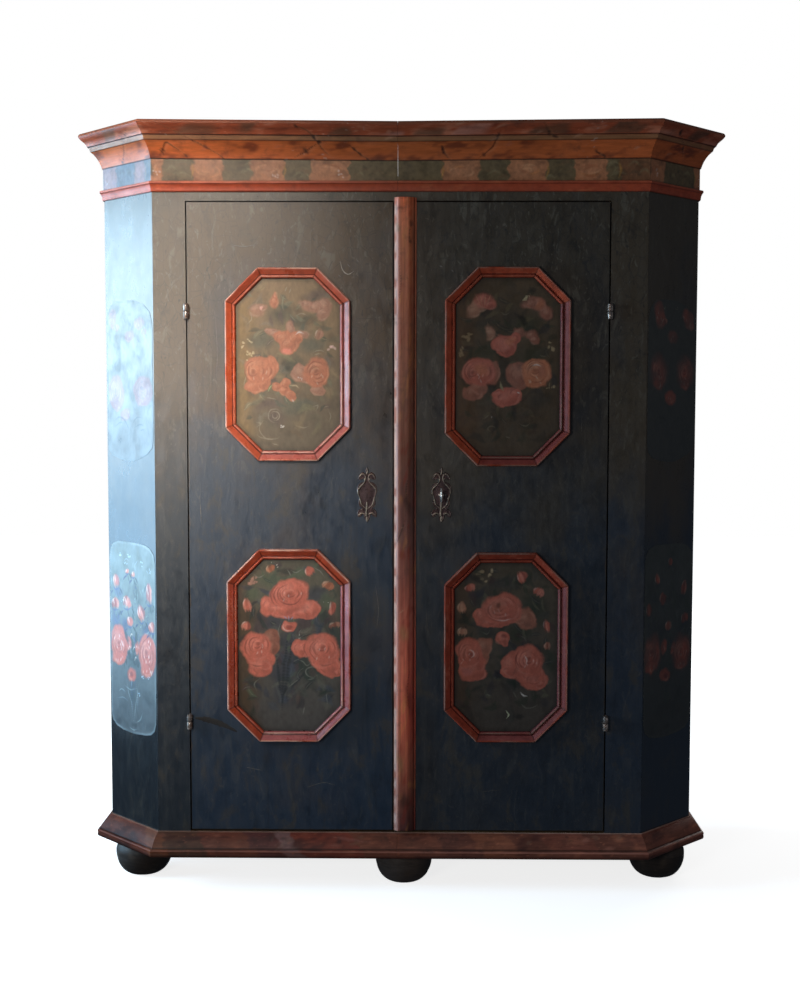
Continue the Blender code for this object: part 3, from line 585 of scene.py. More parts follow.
def corner(side, index, proud):
    """The plan points of a half at a corner, moved outwards from the body's face by an array of distances."""
    turn = proud * math.tan(HALF_TURN)
    same = np.ones_like(proud)
    x, y = (
        (same * (SEAM_X + side * SEAM_GAP / 2), FACE_Y - proud),
        (side * (HALF_WIDTH + turn), FACE_Y - proud),
        (side * (BODY_HALF + proud), FACE_Y + CANT_LEG - turn), (side * (BODY_HALF + proud), same * BACK_Y),
    )[index]
    return np.stack([x, y], 1)


RUN_STARTS = (0.0, HALF_WIDTH, HALF_WIDTH + CANT_WIDTH)


def moulding(name, side, runs, profile, step, painter, material, dip=0.0, slack=True):
    """A dense length of moulding over one or more runs of a half, in place of the node of this name.
    painter gives colours from the distance along from the seam, and the profile's own height and reach,
    for every point. dip is how far the seam end sinks. slack leaves the CAD's gap at each mitre."""
    profile = np.array(profile)
    proud, height = profile[:, 0], profile[:, 1]
    rings, alongs = [], []
    for run in runs:
        start, end = corner(side, run, proud), corner(side, run + 1, proud)
        way = (end - start) / np.hypot(*(end - start).T)[:, None]
        gap = FIT / 2 / math.cos(HALF_TURN) if slack else 0.0
        start = start + way * (gap if run > 0 else 0.0)
        end = end - way * (gap if run < 2 else 0.0)
        length = (HALF_WIDTH, CANT_WIDTH, BACK_Y - FACE_Y - CANT_LEG)[run]
        count = max(2, round(length / step))
        shares = np.linspace(0, 1, count + 1)
        if run != runs[0]:
            shares = shares[1:]
        for share in shares:
            flat = start + (end - start) * share
            fall = dip * (1 - share) if run == 0 else 0.0
            rings.append(np.column_stack([flat, height - fall]))
            alongs.append(np.full(len(profile), RUN_STARTS[run] + length * share))
    points = np.concatenate(rings)
    along = side * np.concatenate(alongs)
    rgb = painter(along, np.tile(height, len(rings)), np.tile(proud, len(rings)))
    faces = skin(len(rings), len(profile))
    add(f"{name}_painted", points, faces, "carcass", material, [name], rgb)


def dots(canvas, across, up, size, colour, count, strength):
    """A few close dabs, as for a small pale flower."""
    rng = np.random.default_rng(int(abs(across * 7 + up * 3)) + count)
    for _ in range(count):
        a, z = across + rng.normal() * size * 0.5, up + rng.normal() * size * 0.45
        canvas.spot(
            a, z, size * rng.uniform(0.22, 0.42), size * rng.uniform(0.2, 0.35), colour, 0.0, 0.5, strength,
        )


ORANGE = light_of(214, 108, 56)
DEEP_RED = light_of(120, 38, 26)
BROWN = light_of(92, 52, 34)
DARK = light_of(44, 26, 20)
SALMON = light_of(186, 122, 84)
OLIVE = light_of(116, 96, 66)
PALE = light_of(232, 205, 190)
TAN = light_of(168, 124, 84)
UNPAINTED = light_of(120, 88, 60)


def crown_profile():
    """The crown's section: a cove, a fillet and an overhanging top moulding."""
    foot, head = FRIEZE_TOP + FIT, TOTAL_HEIGHT
    rise = head - foot
    cove_top = (0.49 * CROWN_PROUD, foot + 0.48 * rise)
    fillet_top = (0.59 * CROWN_PROUD, foot + 0.615 * rise)
    nose = (CROWN_PROUD, foot + 0.91 * rise)
    points = [(FRIEZE_INNER, foot), (FRIEZE_PROUD + 0.0025, foot)]
    points += bowed(points[-1], cove_top, 0.0035, 14)
    points += [(cove_top[0] + 0.0022, cove_top[1] + 0.0008), fillet_top]
    points += [(fillet_top[0] + 0.0035, fillet_top[1] + 0.0008)]
    points += bowed(points[-1], (0.80 * CROWN_PROUD, foot + 0.77 * rise), 0.0008, 5)
    points += bowed(points[-1], nose, -0.0012, 7)
    points += bowed(nose, (CROWN_PROUD - 0.0045, head), -0.0012, 6)
    last = len(points) - 1
    return refined(points + [(FRIEZE_INNER, head)], 0.0025, 1, last)


CROWN_VEINS = (
    ((-558, 1872), (-520, 1853), (-488, 1836), (-445, 1813), (-420, 1796)),
    ((-578, 1805), (-566, 1818), (-553, 1831), (-538, 1822), (-512, 1802)),
    ((-235, 1866), (-212, 1858), (-195, 1840), (-175, 1813), (-152, 1798)),
    ((-186, 1834), (-221, 1816), (-258, 1797)), ((-115, 1828), (-98, 1815), (-65, 1794)),
    ((103, 1828), (110, 1812), (124, 1797)), ((236, 1858), (226, 1832), (216, 1818), (188, 1798)),
    ((470, 1812), (492, 1799)), ((-650, 1862), (-690, 1830), (-720, 1800)),
    ((660, 1866), (700, 1838), (735, 1800)), ((330, 1872), (352, 1852), (380, 1838)),
)


def marble(canvas, spots, seed, light, deep):
    """Soft mottling with slanting strokes, as on a grained and marbled moulding."""
    slant = np.stack([spots[:, 0] - 0.8 * spots[:, 2], spots[:, 1] * 2.5, spots[:, 2] * 2.2], 1)
    cloud = clouds(slant, seed, (0.055, 0.7), (0.017, 0.4))
    canvas.wash(deep, 0.75 * ease(0.05, 0.75, cloud))
    canvas.wash(light, 0.60 * ease(0.15, 0.85, -cloud))
    fleck = noise(slant, 0.008, seed + 2)
    canvas.wash(light * 1.25, 0.35 * ease(0.55, 0.9, fleck))


def tone_along(along):
    """The upper mouldings are darker near the middle and on the right."""
    grime = np.interp(along, [-0.63, -0.602, -0.45, -0.1, 0.25, 0.62], [0.80, 1.0, 0.92, 0.66, 0.78, 0.92])
    return np.stack([grime, 0.5 * grime + 0.5 * grime**0.7, 0.5 * grime + 0.5 * grime**0.7], 1)


def paint_crown(along, height, proud):
    foot = FRIEZE_TOP + FIT
    share = (height - foot) / (TOTAL_HEIGHT - foot)
    top = light_of(178, 84, 52)
    canvas = Canvas(along * 1000, height * 1000, blend(ORANGE, top, ease(0.40, 0.70, share)), 11)
    spots = np.stack([along, proud, height], 1)
    marble(
        canvas, spots, 21, blend(ORANGE * 1.1, light_of(226, 142, 108), ease(0.3, 0.7, share)),
        blend(DEEP_RED, BROWN, 0.5),
    )
    fillet = ease(0.478, 0.492, share) * (1 - ease(0.605, 0.618, share))
    canvas.wash(TAN * 0.8, 0.75 * fillet)
    nose = ease(0.885, 0.915, share)
    canvas.wash(light_of(176, 112, 84), 0.45 * nose)
    patch = noise(np.stack([along - 0.9 * height, height], 1), 0.045, 31)
    band = ease(0.62, 0.66, share) * (1 - nose)
    canvas.wash(light_of(104, 74, 54), 0.7 * band * ease(0.15, 0.6, patch))
    canvas.wash(light_of(214, 148, 128), 0.6 * band * ease(0.35, 0.8, -patch))
    # Dark lines in the profile's two creases and along the crown's foot, where it overhangs the frieze:
    # painted shade.
    canvas.wash(DARK * 0.6, 0.9 * bell(share, 0.622, 0.010))
    canvas.wash(DARK * 0.6, 0.7 * bell(share, 0.485, 0.008))
    canvas.wash(DARK, 0.8 * (1 - ease(0.0, 0.035, share)))
    rng = np.random.default_rng(43)
    for vein in CROWN_VEINS:
        canvas.stroke(vein, 4.0, light_of(46, 24, 18), 0.85, (0.4, 0.2), soft=1.4)
        canvas.stroke(
            [(a + 5, z - 2) for a, z in vein], 5.0, light_of(214, 138, 96), 0.30, (0.3, 0.3), soft=2.5,
        )
        line = smooth_path(vein)
        for _ in range(3):
            a, z = line[rng.integers(len(line))]
            canvas.spot(a, z, rng.uniform(4, 9), rng.uniform(2.5, 5), light_of(52, 28, 20), -0.9, 0.8, 0.75)
    for _ in range(34):
        a, z = rng.uniform(-800, 800), rng.uniform(1800, 1872)
        run = rng.uniform(10, 34)
        tone = pick(rng, (222, 160, 128), (120, 60, 40), (196, 110, 84))
        canvas.stroke(
            [(a, z), (a + run * 0.5, z + run * 0.22), (a + run, z + run * 0.3)], rng.uniform(3, 7), tone,
            0.35, (0.2, 0.2), 0.3, 2.2,
        )
    marks = noise(np.stack([along, height * 1.4], 1), 0.006, 41)
    marks = marks + 0.5 * noise(np.stack([along, height], 1), 0.09, 42)
    canvas.wash(PALE, 0.35 * ease(1.12, 1.35, marks))
    canvas.rgb = canvas.rgb * tone_along(along)
    canvas.rgb[proud < FRIEZE_PROUD] = UNPAINTED
    return canvas.rgb


FRIEZE_BLOCKS = (
    (-814, "s"), (-753, "o"), (-675, "s"), (-627, "o"), (-601, "s"), (-572, "o"), (-502, "s"), (-428, "o"),
    (-358, "s"), (-277, "o"), (-211, "s"), (-119, "o"), (106, "s"), (197, "o"), (265, "s"), (357, "o"),
    (424, "s"), (500, "o"), (530, "b"), (604, "s"), (663, "o"), (790, "s"), (880, "o"), (960, "s"),
    (1050, "o"), (1130, "s"),
)


def block_blur(start):
    """How soft a block's edge is, in millimetres: it varies from edge to edge."""
    return 1.5 + 2.5 * (0.5 + 0.5 * math.sin(start * 1.7))


def paint_frieze(along, height, proud):
    canvas = Canvas(along * 1000, height * 1000, OLIVE, 51)
    level = (height - CARCASS_TOP) / (FRIEZE_TOP - CARCASS_TOP)
    tints = {"s": SALMON, "o": OLIVE, "b": light_of(128, 86, 58)}
    wave = 2.5 * np.sin(level * 9 + along * 31) + 2.2 * canvas.wave_a
    blocks = ((-1184, "s"), (-1100, "o"), (-1010, "s"), (-920, "o")) + FRIEZE_BLOCKS
    for (start, tint), following in zip(blocks, blocks[1:] + ((1400, "o"),)):
        soft, after = block_blur(start), block_blur(following[0])
        inside = ease(start - soft, start + soft, along * 1000 + wave)
        inside = inside * (1 - ease(following[0] - after, following[0] + after, along * 1000 + wave))
        canvas.wash(tints[tint], inside)
    spots = np.stack([along, height], 1)
    cloud = clouds(spots, 61, (0.016, 0.7), (0.006, 0.5))
    canvas.wash(canvas.rgb * 0.62, 0.8 * ease(0.0, 0.8, cloud))
    canvas.wash(canvas.rgb * 1.25, 0.7 * ease(0.1, 0.9, -cloud))
    middle = 1000 * (CARCASS_TOP + FRIEZE_TOP) / 2
    rng = np.random.default_rng(71)
    for (start, tint), following in zip(blocks, blocks[1:]):
        centre, half = (start + following[0]) / 2, (following[0] - start) / 2
        if tint == "s":
            canvas.spot(centre, middle, half * 0.8, 19, light_of(206, 138, 98), 0.0, 0.9, 0.6)
            for _ in range(5):
                spin, ring = rng.uniform(0, 6.28), rng.uniform(0.25, 0.8)
                off_a, off_z = rng.uniform(-0.2, 0.2) * half, rng.uniform(-5, 5)
                arc = [
                    (
                        centre + off_a + half * ring * math.cos(spin + a),
                        middle + off_z + 20 * ring * math.sin(spin + a),
                    )
                    for a in np.linspace(0, rng.uniform(1.2, 2.2), 5)
                ]
                tone = pick(rng, (228, 166, 122), (158, 84, 52), (206, 128, 70))
                canvas.stroke(arc, rng.uniform(4, 8), tone, 0.40, (0.2, 0.2), 0.3, 2.4)
            if rng.uniform() < 0.45:
                dots(
                    canvas, centre + rng.uniform(-0.5, 0.5) * half, middle - rng.uniform(0, 14), 9, PALE, 5,
                    0.55,
                )
        else:
            for _ in range(6):
                a, z = centre + rng.uniform(-0.9, 0.9) * half, middle + rng.uniform(-18, 18)
                reach = rng.uniform(8, 20)
                arc = [(a - reach, z - rng.uniform(2, 9)), (a, z + 3), (a + reach, z - rng.uniform(1, 9))]
                tone = pick(rng, (150, 136, 100), (78, 66, 46), (128, 92, 62))
                canvas.stroke(arc, rng.uniform(4, 9), tone, 0.40, (0.2, 0.2), 0.3, 2.4)
    for start, tint in FRIEZE_BLOCKS[::3]:
        canvas.stroke(
            [(start - 2, middle - 18), (start + 3, middle), (start - 1, middle + 18)], 5,
            light_of(206, 146, 66), 0.5, soft=2.0,
        )
    # Darker along the frieze's foot, in the corner above the astragal, and along its head under the crown's
    # overhang: painted shade.
    canvas.wash(DARK, 0.75 * (1 - ease(0.0, 0.05, level)))
    canvas.wash(DARK, 0.65 * ease(0.96, 1.0, level))
    canvas.rgb = canvas.rgb * tone_along(along) ** 0.6
    canvas.rgb = canvas.rgb * np.interp(along, [-0.55, -0.35, -0.15, 0.55], [0.78, 0.80, 1.12, 1.16])[:, None]
    # A pale blue wash over the frieze on the left cant: painted reflection of the window's light.
    on_cant = ((along < -0.606) & (along > -0.818)).astype(float)
    canvas.wash(light_of(112, 142, 172), 0.40 * on_cant)
    canvas.rgb[proud < 0] = UNPAINTED
    return canvas.rgb


def astragal_profile():
    """A small moulding whose widest edge is its top."""
    foot, head = ASTRAGAL_FOOT, CARCASS_TOP
    points = [(FIT, foot), (0.30 * ASTRAGAL_PROUD, foot), (0.45 * ASTRAGAL_PROUD, foot + 0.003)]
    points += bowed(points[-1], (0.85 * ASTRAGAL_PROUD, head - 0.0075), 0.0012, 8)
    points += [(ASTRAGAL_PROUD, head - 0.006), (ASTRAGAL_PROUD, head - 0.0015)]
    points += [(ASTRAGAL_PROUD - 0.0015, head)]
    last = len(points) - 1
    return refined(points + [(FIT, head)], 0.0022, 0, last)


def paint_astragal(along, height, proud):
    canvas = Canvas(along * 1000, height * 1000, light_of(196, 84, 52), 81)
    spots = np.stack([along * 0.35, proud, height], 1)
    cloud = clouds(spots, 82, (0.012, 0.6), (0.004, 0.4))
    canvas.wash(DEEP_RED, 0.35 * ease(0.1, 0.8, cloud))
    canvas.wash(light_of(222, 124, 78), 0.4 * ease(0.2, 0.8, -cloud))
    level = (height - ASTRAGAL_FOOT) / (CARCASS_TOP - ASTRAGAL_FOOT)
    # Darker at the foot, under the wide top edge, and in the crease just below that edge: painted shade.
    # Lighter along the top edge.
    canvas.wash(DARK, 0.75 * (1 - ease(0.0, 0.10, level)))
    canvas.wash(DARK, 0.55 * bell(level, 0.735, 0.03))
    canvas.wash(light_of(206, 124, 92), 0.4 * ease(0.80, 0.95, level))
    return canvas.rgb * tone_along(along)


def base_profile():
    """The base frame's section: a ledge that carries the body, and the moulding in front of it."""
    foot, head = FOOT_HEIGHT, BASE_TOP
    bead = foot + 0.020
    points = [(-BASE_LEDGE, foot), (BASE_PROUD - 0.004, foot)]
    points += bowed(points[-1], (BASE_PROUD, foot + 0.005), -0.0008, 5)
    points += [(BASE_PROUD - 0.0005, foot + 0.013)]
    points += bowed(points[-1], (BASE_PROUD - 0.004, bead), -0.0022, 8)
    points += [(BASE_PROUD - 0.0065, bead + 0.001)]
    points += bowed(points[-1], (0.004, head - 0.003), -0.0028, 12)
    points += [(0.0035, head), (FIT, head), (FIT, LEDGE_TOP)]
    last = len(points) - 2
    return refined(points + [(-BASE_LEDGE, LEDGE_TOP)], 0.0025, 1, last)


BASE_PATCHES = (
    (-606, (150, 96, 64)), (-549, (82, 70, 52)), (-454, (128, 70, 52)), (-333, (84, 48, 54)),
    (-265, (150, 118, 116)), (-223, (140, 56, 42)), (-72, (118, 64, 46)), (40, (120, 66, 48)),
    (130, (84, 48, 40)), (220, (132, 74, 50)), (310, (92, 52, 40)), (400, (116, 60, 46)),
    (505, (86, 50, 40)),
)


def paint_base(along, height, proud):
    canvas = Canvas(along * 1000, height * 1000, light_of(120, 66, 50), 91)
    slanted = along * 1000 + 0.9 * (height - FOOT_HEIGHT) * 1000 + 4 * canvas.wave_a
    for (start, tint), following in zip(BASE_PATCHES, BASE_PATCHES[1:] + ((606, None),)):
        inside = ease(start - 5, start + 5, slanted) * (1 - ease(following[0] - 5, following[0] + 5, slanted))
        canvas.wash(light_of(*tint), 0.5 * inside)
    marble(canvas, np.stack([along, proud, height], 1), 95, light_of(168, 96, 68), light_of(70, 36, 32))
    canvas.stroke(
        [(-158, 128), (-130, 124), (-100, 121), (-66, 118)], 6, light_of(150, 96, 84), 0.4, soft=2.5,
    )
    canvas.stroke([(-296, 100), (-280, 112), (-262, 126)], 8, light_of(150, 118, 106), 0.4, soft=3.0)
    rng = np.random.default_rng(97)
    for _ in range(26):
        a, z = rng.uniform(-600, 600), rng.uniform(104, 132)
        tone = pick(rng, (150, 92, 74), (84, 46, 38), (128, 90, 70))
        canvas.stroke(
            [(a, z), (a + rng.uniform(12, 30), z + rng.uniform(-3, 8))], rng.uniform(4, 9), tone, 0.4,
            (0.2, 0.2), 0.3, 2.5,
        )
    bead = FOOT_HEIGHT + 0.020
    # A dark line in the recess above the bead, a light line on the bead's crest, darker towards the sole
    # under the bead, and a light line along the top edge: painted shade and painted highlights.
    canvas.wash(DARK * 0.5, 0.9 * bell(height - bead, 0.0018, 0.0016))
    canvas.wash(light_of(190, 120, 100), 0.5 * bell(height - bead, -0.003, 0.0018))
    canvas.wash(canvas.rgb * 0.5, 1 - ease(FOOT_HEIGHT + 0.004, FOOT_HEIGHT + 0.013, height))
    canvas.wash(light_of(188, 150, 132), 0.5 * ease(BASE_TOP - 0.003, BASE_TOP - 0.0005, height))
    side_tone = np.interp(along, [-0.70, -0.62, -0.58, -0.2, 0.1, 0.5], [0.45, 0.50, 0.66, 0.90, 1.22, 1.5])
    canvas.rgb = canvas.rgb * np.stack([side_tone, side_tone**1.25, side_tone**1.4], 1)
    canvas.rgb[proud < 0.001] = UNPAINTED
    return canvas.rgb


marbled = painted_material("marbled_paint", (18, 18, 160), 0.42, 0.18, 0.4, 0.35)
base_paint = painted_material("base_paint", (18, 18, 160), 0.45, 0.22, 0.5, 0.3)
dull_base_paint = painted_material("dull_base_paint", (18, 18, 160), 0.50, 0.22, 0.5, 0.08)
frieze_paint = painted_material("frieze_paint", (90, 90, 60), 0.42, 0.16, 0.35)
red_paint = painted_material("red_paint", (60, 60, 60), 0.30, 0.14, 0.30, 0.64)
astragal_paint = painted_material("astragal_paint", (60, 60, 60), 0.40, 0.14, 0.30, 0.4)
dull_red_paint = painted_material("dull_red_paint", (60, 60, 60), 0.40, 0.14, 0.35, 0.12)
iron = iron_material("wrought_iron")


low, high = CARCASS_TOP + FIT, FRIEZE_TOP
section = [(FRIEZE_INNER, low), (FRIEZE_PROUD, low), (FRIEZE_PROUD, high), (FRIEZE_INNER, high)]
frieze_profile = refined(section, 0.0022, 1, 2)
frieze_rise = np.array(frieze_profile)[:, 1] - CARCASS_TOP - FIT
frieze_dip = CROWN_DIP * np.clip(frieze_rise / (FRIEZE_TOP - CARCASS_TOP), 0, 1)

for side, side_name in SIDES.items():
    for run, run_name in enumerate(("front", "cant", "side")):
        moulding(
            f"crown_{run_name}_{side_name}", side, [run], crown_profile(), 0.0028, paint_crown,
            marbled, CROWN_DIP,
        )
        moulding(
            f"base_{run_name}_{side_name}", side, [run], base_profile(), 0.0030, paint_base,
            dull_base_paint if (side, run) == (-1, 1) else base_paint,
        )
    moulding(
        f"frieze_{side_name}", side, [0, 1, 2], frieze_profile, 0.0022, paint_frieze,
        frieze_paint, frieze_dip, False,
    )
    moulding(
        f"astragal_{side_name}", side, [0, 1, 2], astragal_profile(), 0.0030, paint_astragal,
        astragal_paint, slack=False,
    )


# Octagonal mouldings on the doors


def octagon(centre, low, high, inset):
    """Corners of a panel's outline moved inwards, as (x, z), anticlockwise from the front."""
    half, cut = PANEL_HALF - inset, PANEL_CORNER - inset * (2 - math.sqrt(2))
    low, high = low + inset, high - inset
    left, right = centre - half, centre + half
    return np.array(
        [
            (left + cut, low), (right - cut, low), (right, low + cut), (right, high - cut),
            (right - cut, high), (left + cut, high), (left, high - cut), (left, low + cut),
        ]
    )


def mould_profile():
    """Inward distance and height of a panel moulding: a round outer crest, a hollow and an inner bead."""
    shares = np.array(
        [
            (0.00, 0.55), (0.02, 0.80), (0.06, 0.94), (0.11, 1.00), (0.16, 0.96), (0.24, 0.87),
            (0.34, 0.75), (0.44, 0.62), (0.54, 0.50), (0.62, 0.41), (0.66, 0.36), (0.69, 0.36),
            (0.73, 0.46), (0.79, 0.56), (0.85, 0.56), (0.91, 0.48), (0.96, 0.37), (1.00, 0.28),
        ]
    )
    line = smooth_path(shares)[::2]
    line[:, 0] = np.clip(line[:, 0], 0, 1)
    points = [(MOULD_WIDTH * u, MOULD_PROUD * min(v, 1.0)) for u, v in line]
    return np.array([(0.0, FIT)] + points + [(MOULD_WIDTH, FIT)])


def panel_moulding(name, body):
    centre, low, high = PANELS[name]
    profile = mould_profile()
    rings = [octagon(centre, low, high, inset) for inset in profile[:, 0]]
    points, along, member, leaning, sideways = [], [], [], [], []
    travelled = 0.0
    for edge in range(8):
        following = (edge + 1) % 8
        length = np.hypot(*(rings[0][following] - rings[0][edge]))
        outward = (rings[0][following] + rings[0][edge]) / 2 - (centre, (low + high) / 2)
        leaning_here = ease(0.15, 0.75, (0.8 * outward[0] - 0.6 * outward[1]) / np.hypot(*outward))
        count = max(4, round(length / 0.0032))
        for share in np.arange(count) / count:
            flat = np.array([ring[edge] + (ring[following] - ring[edge]) * share for ring in rings])
            points.append(np.column_stack([flat[:, 0], FACE_Y - profile[:, 1], flat[:, 1]]))
            along.append(np.full(len(profile), travelled + length * share))
            member.append(np.full(len(profile), min(share, 1 - share) * length))
            leaning.append(np.full(len(profile), leaning_here))
            sideways.append(np.full(len(profile), -outward[0] / np.hypot(*outward)))
        travelled += length
    rows = len(points)
    points, along, member, leaning, sideways = (
        np.concatenate(part) for part in (points, along, member, leaning, sideways)
    )
    inward = np.tile(profile[:, 0], rows)
    # Each panel's moulding has its own red and lighter tone: the upper left's is the lightest, as painted
    # light, and the other three's are darker, as painted shade.
    base, bright = {
        "upper_left": ((214, 96, 58), (236, 140, 96)), "lower_left": ((176, 72, 44), (216, 124, 92)),
        "upper_right": ((170, 76, 52), (190, 110, 82)), "lower_right": ((156, 68, 50), (190, 114, 90)),
    }[name]
    base, bright = light_of(*base), light_of(*bright)
    canvas = Canvas(along * 1000, inward * 1000, base, 101)
    spots = np.stack([along * 0.5, inward * 1.5], 1)
    seed = 110 + len(name) + int(10 * low)
    cloud = clouds(spots, seed, (0.012, 0.6), (0.004, 0.5))
    canvas.wash(base * 0.6, 0.45 * ease(0.1, 0.8, cloud))
    canvas.wash(bright, 0.35 * ease(0.2, 0.8, -cloud))
    share = inward / MOULD_WIDTH
    # On the upper left, every member but the left one is dulled (painted shade), and the right and lower
    # members turn pink (painted reflection of the window).
    if name == "upper_left":
        shaded_members = 1 - ease(0.5, 0.95, sideways)
        canvas.wash(light_of(178, 88, 68), 0.60 * shaded_members)
        canvas.wash(light_of(190, 116, 114), 0.60 * leaning * ease(0.12, 0.3, share))
    # Mauve on the right and lower members: painted reflection of the window.
    if name.startswith("lower"):
        mauve = light_of(172, 104, 116) if name.endswith("left") else light_of(120, 78, 84)
        canvas.wash(mauve, 0.55 * leaning * ease(0.12, 0.3, share))
    # On the upper right, a faint mauve on the right and lower members (painted reflection), which are then
    # darkened (painted shade).
    if name == "upper_right":
        canvas.wash(light_of(140, 76, 80), 0.6 * leaning * ease(0.12, 0.3, share))
        canvas.rgb = canvas.rgb * (1.08 - 0.30 * leaning)[:, None]
    # Pale lines on the outer crest and inner bead: partly rubbed paint, partly painted highlight, strongest
    # on the left door and on the right and lower members.
    crest = bell(share, 0.08, 0.075) + (0.3 + 0.7 * leaning) * bell(share, 0.82, 0.07)
    wear_and_highlight = light_of(232, 186, 166) * (1.0 if name.endswith("left") else 0.35)
    canvas.wash(wear_and_highlight, 0.85 * np.clip(crest, 0, 1) * ease(-0.7, 0.4, noise(spots, 0.02, seed + 2)))
    # Darker in the groove (grime and painted shade) and along the inner edge (painted shadow where the
    # moulding meets the panel).
    hollow = bell(share, 0.665, 0.05) + ease(0.93, 1.0, share)
    canvas.wash(light_of(54, 18, 26), 0.85 * np.clip(hollow, 0, 1))
    canvas.wash(DARK, 0.6 * (1 - ease(0.0004, 0.0015, member)))
    faces = skin(rows, len(profile), loop_rows=True)
    add(
        f"panel_moulding_{name}", points, faces, body,
        red_paint if body == "left_door" else dull_red_paint, [f"panel_frame_{name}"], canvas.rgb,
    )


for panel in PANELS:
    panel_moulding(panel, "left_door" if panel.endswith("left") else "right_door")


# Pictures on thin skins of paint


def picture(name, body, rows_at, place, painter, material):
    """A painted skin. rows_at gives the lowest and highest up, and for an up the left and right ends, in
    millimetres; place turns across and up into a point on the board and the board's outward way."""
    low, high, ends = rows_at
    ups = np.linspace(low, high, max(8, round((high - low) / PAINT_STEP)) + 1)
    widest = max(ends(up)[1] - ends(up)[0] for up in ups)
    count = max(8, round(widest / PAINT_STEP)) + 1
    across = np.array([np.linspace(*ends(up), count) for up in ups]).ravel()
    up = np.repeat(ups, count)
    canvas = painter(across, up)
    board, outward = place(across, up)
    front = board + outward * (SHEET + canvas.lift * STROKE_LIFT)[:, None]
    grid = np.arange(len(up)).reshape(len(ups), count)
    rim = np.concatenate([grid[0, :-1], grid[:-1, -1], grid[-1, :0:-1], grid[:0:-1, 0]])
    back = board[rim] + outward * 0.00005
    points = np.concatenate([front, back])
    faces = tiles(grid).tolist()
    total = len(up)
    size = len(rim)
    for k in range(size):
        following = (k + 1) % size
        faces.append([int(rim[following]), int(rim[k]), total + k, total + following])
    faces.append(list(range(total, total + size)))
    rgb = np.concatenate([canvas.rgb, canvas.rgb[rim]])
    add(name, points, faces, body, material, (), rgb, sharp=60)


def arc_path(across, up, wide, tall, first, sweep, steps=7):
    """Points round part of an oval."""
    turns = np.linspace(first, first + sweep, steps)
    return [(across + wide * math.cos(a), up + tall * math.sin(a)) for a in turns]


def mass(canvas, blobs, tones, strength=0.95, soft=0.16):
    """The dabs of one flower, running together: each is (across, up, half wide, half tall)."""
    dark, middle, light = tones[:3]
    for a, z, w, t in blobs:
        canvas.spot(a, z, w * 1.08, t * 1.08, middle, 0.0, soft, strength)
    for number, (a, z, w, t) in enumerate(blobs):
        lean = 0.9 * ((number * 7 + int(abs(a))) % 4)
        canvas.spot(a - w * 0.25, z + t * 0.30, w * 0.60, t * 0.48, light, 0.3, 0.9, 0.50)
        canvas.spot(a + w * 0.35, z - t * 0.40, w * 0.60, t * 0.48, dark, 0.3, 0.9, 0.30)
        canvas.stroke(
            arc_path(a, z, w * 0.88, t * 0.88, -2.9 + lean, 1.5, 5), 4.6, light, 0.40, (0.2, 0.2), 0.35, 2.2,
        )
        canvas.stroke(
            arc_path(a, z, w * 0.60, t * 0.60, 0.3 + lean, 1.4, 5), 3.2, dark, 0.42, (0.2, 0.2), 0.3, 1.5,
        )


def rose(canvas, across, up, wide, tall, tones, eye, start, seed, soft=0.16):
    """The open face of a rose: dark crescents curl round its heart, with a few pale ticks.
    eye is the heart's place as shares of the half sizes, and start is where the crescents begin."""
    dark, middle, light, pale = tones
    rng = np.random.default_rng(seed)
    mass(canvas, [(across, up, wide, tall)], tones, 0.95, soft)
    canvas.spot(across + wide * 0.1, up - tall * 0.1, wide * 0.7, tall * 0.62, middle, 0.3, 0.8, 0.7)
    heart_x, heart_z = across + eye[0] * wide, up + eye[1] * tall
    for radius, shift, sweep in (
        (0.86, 0.1, 1.7), (0.70, -0.5, 1.5), (0.60, 0.5, 1.6), (0.74, 3.3, 1.2), (0.45, -0.2, 2.2),
        (0.46, 3.0, 1.4),
    ):
        share = 1 - radius
        middle_x = across + (heart_x - across) * share + rng.uniform(-0.09, 0.09) * wide
        middle_z = up + (heart_z - up) * share + rng.uniform(-0.09, 0.07) * tall
        first = start + shift + rng.uniform(-0.25, 0.25)
        squeeze = rng.uniform(0.94, 1.04)
        inner = (radius - 0.13) * squeeze
        path = arc_path(middle_x, middle_z, wide * inner, tall * inner, first + 0.1, sweep * 0.9, 5)
        canvas.stroke(path, rng.uniform(5.5, 8.0), light, 0.42, (0.2, 0.15), 0.35, 2.6)
        path = arc_path(middle_x, middle_z, wide * radius * squeeze, tall * radius, first, sweep, 5)
        canvas.stroke(path, rng.uniform(2.4, 3.6), dark, rng.uniform(0.45, 0.70), (0.15, 0.15), 0.3, 1.2)
    canvas.spot(heart_x, heart_z, wide * 0.22, tall * 0.18, dark, 0.4, 0.8, 0.6)
    canvas.stroke(
        arc_path(heart_x, heart_z, wide * 0.28, tall * 0.26, -2.5, 2.2), 3.4, dark, 0.6, (0.2, 0.3), soft=1.3,
    )
    canvas.stroke(
        arc_path(heart_x, heart_z, wide * 0.24, tall * 0.22, 0.4, 2.0), 4.0, light, 0.55, (0.3, 0.2),
        soft=1.4,
    )
    for _ in range(4):
        a, z = across + rng.uniform(-0.6, 0.6) * wide, up - rng.uniform(-0.1, 0.8) * tall
        lean = rng.uniform(-5, 5)
        canvas.stroke(
            [(a, z + rng.uniform(2, 5)), (a + lean, z - rng.uniform(2, 5))], rng.uniform(2.2, 3.4), pale,
            0.36, (0.4, 0.1), soft=1.2,
        )


def turner(across, up, turn):
    """A function that turns a place in a flower into one on the canvas."""
    cos, sin = math.cos(turn), math.sin(turn)

    def turned(x, z):
        return across + x * cos - z * sin, up + x * sin + z * cos

    return turned


def petal_arc(turned, wide, tall, first, sweep):
    """Five points round part of an oval in a flower."""
    return [turned(wide * math.cos(a), tall * math.sin(a)) for a in np.linspace(first, first + sweep, 5)]


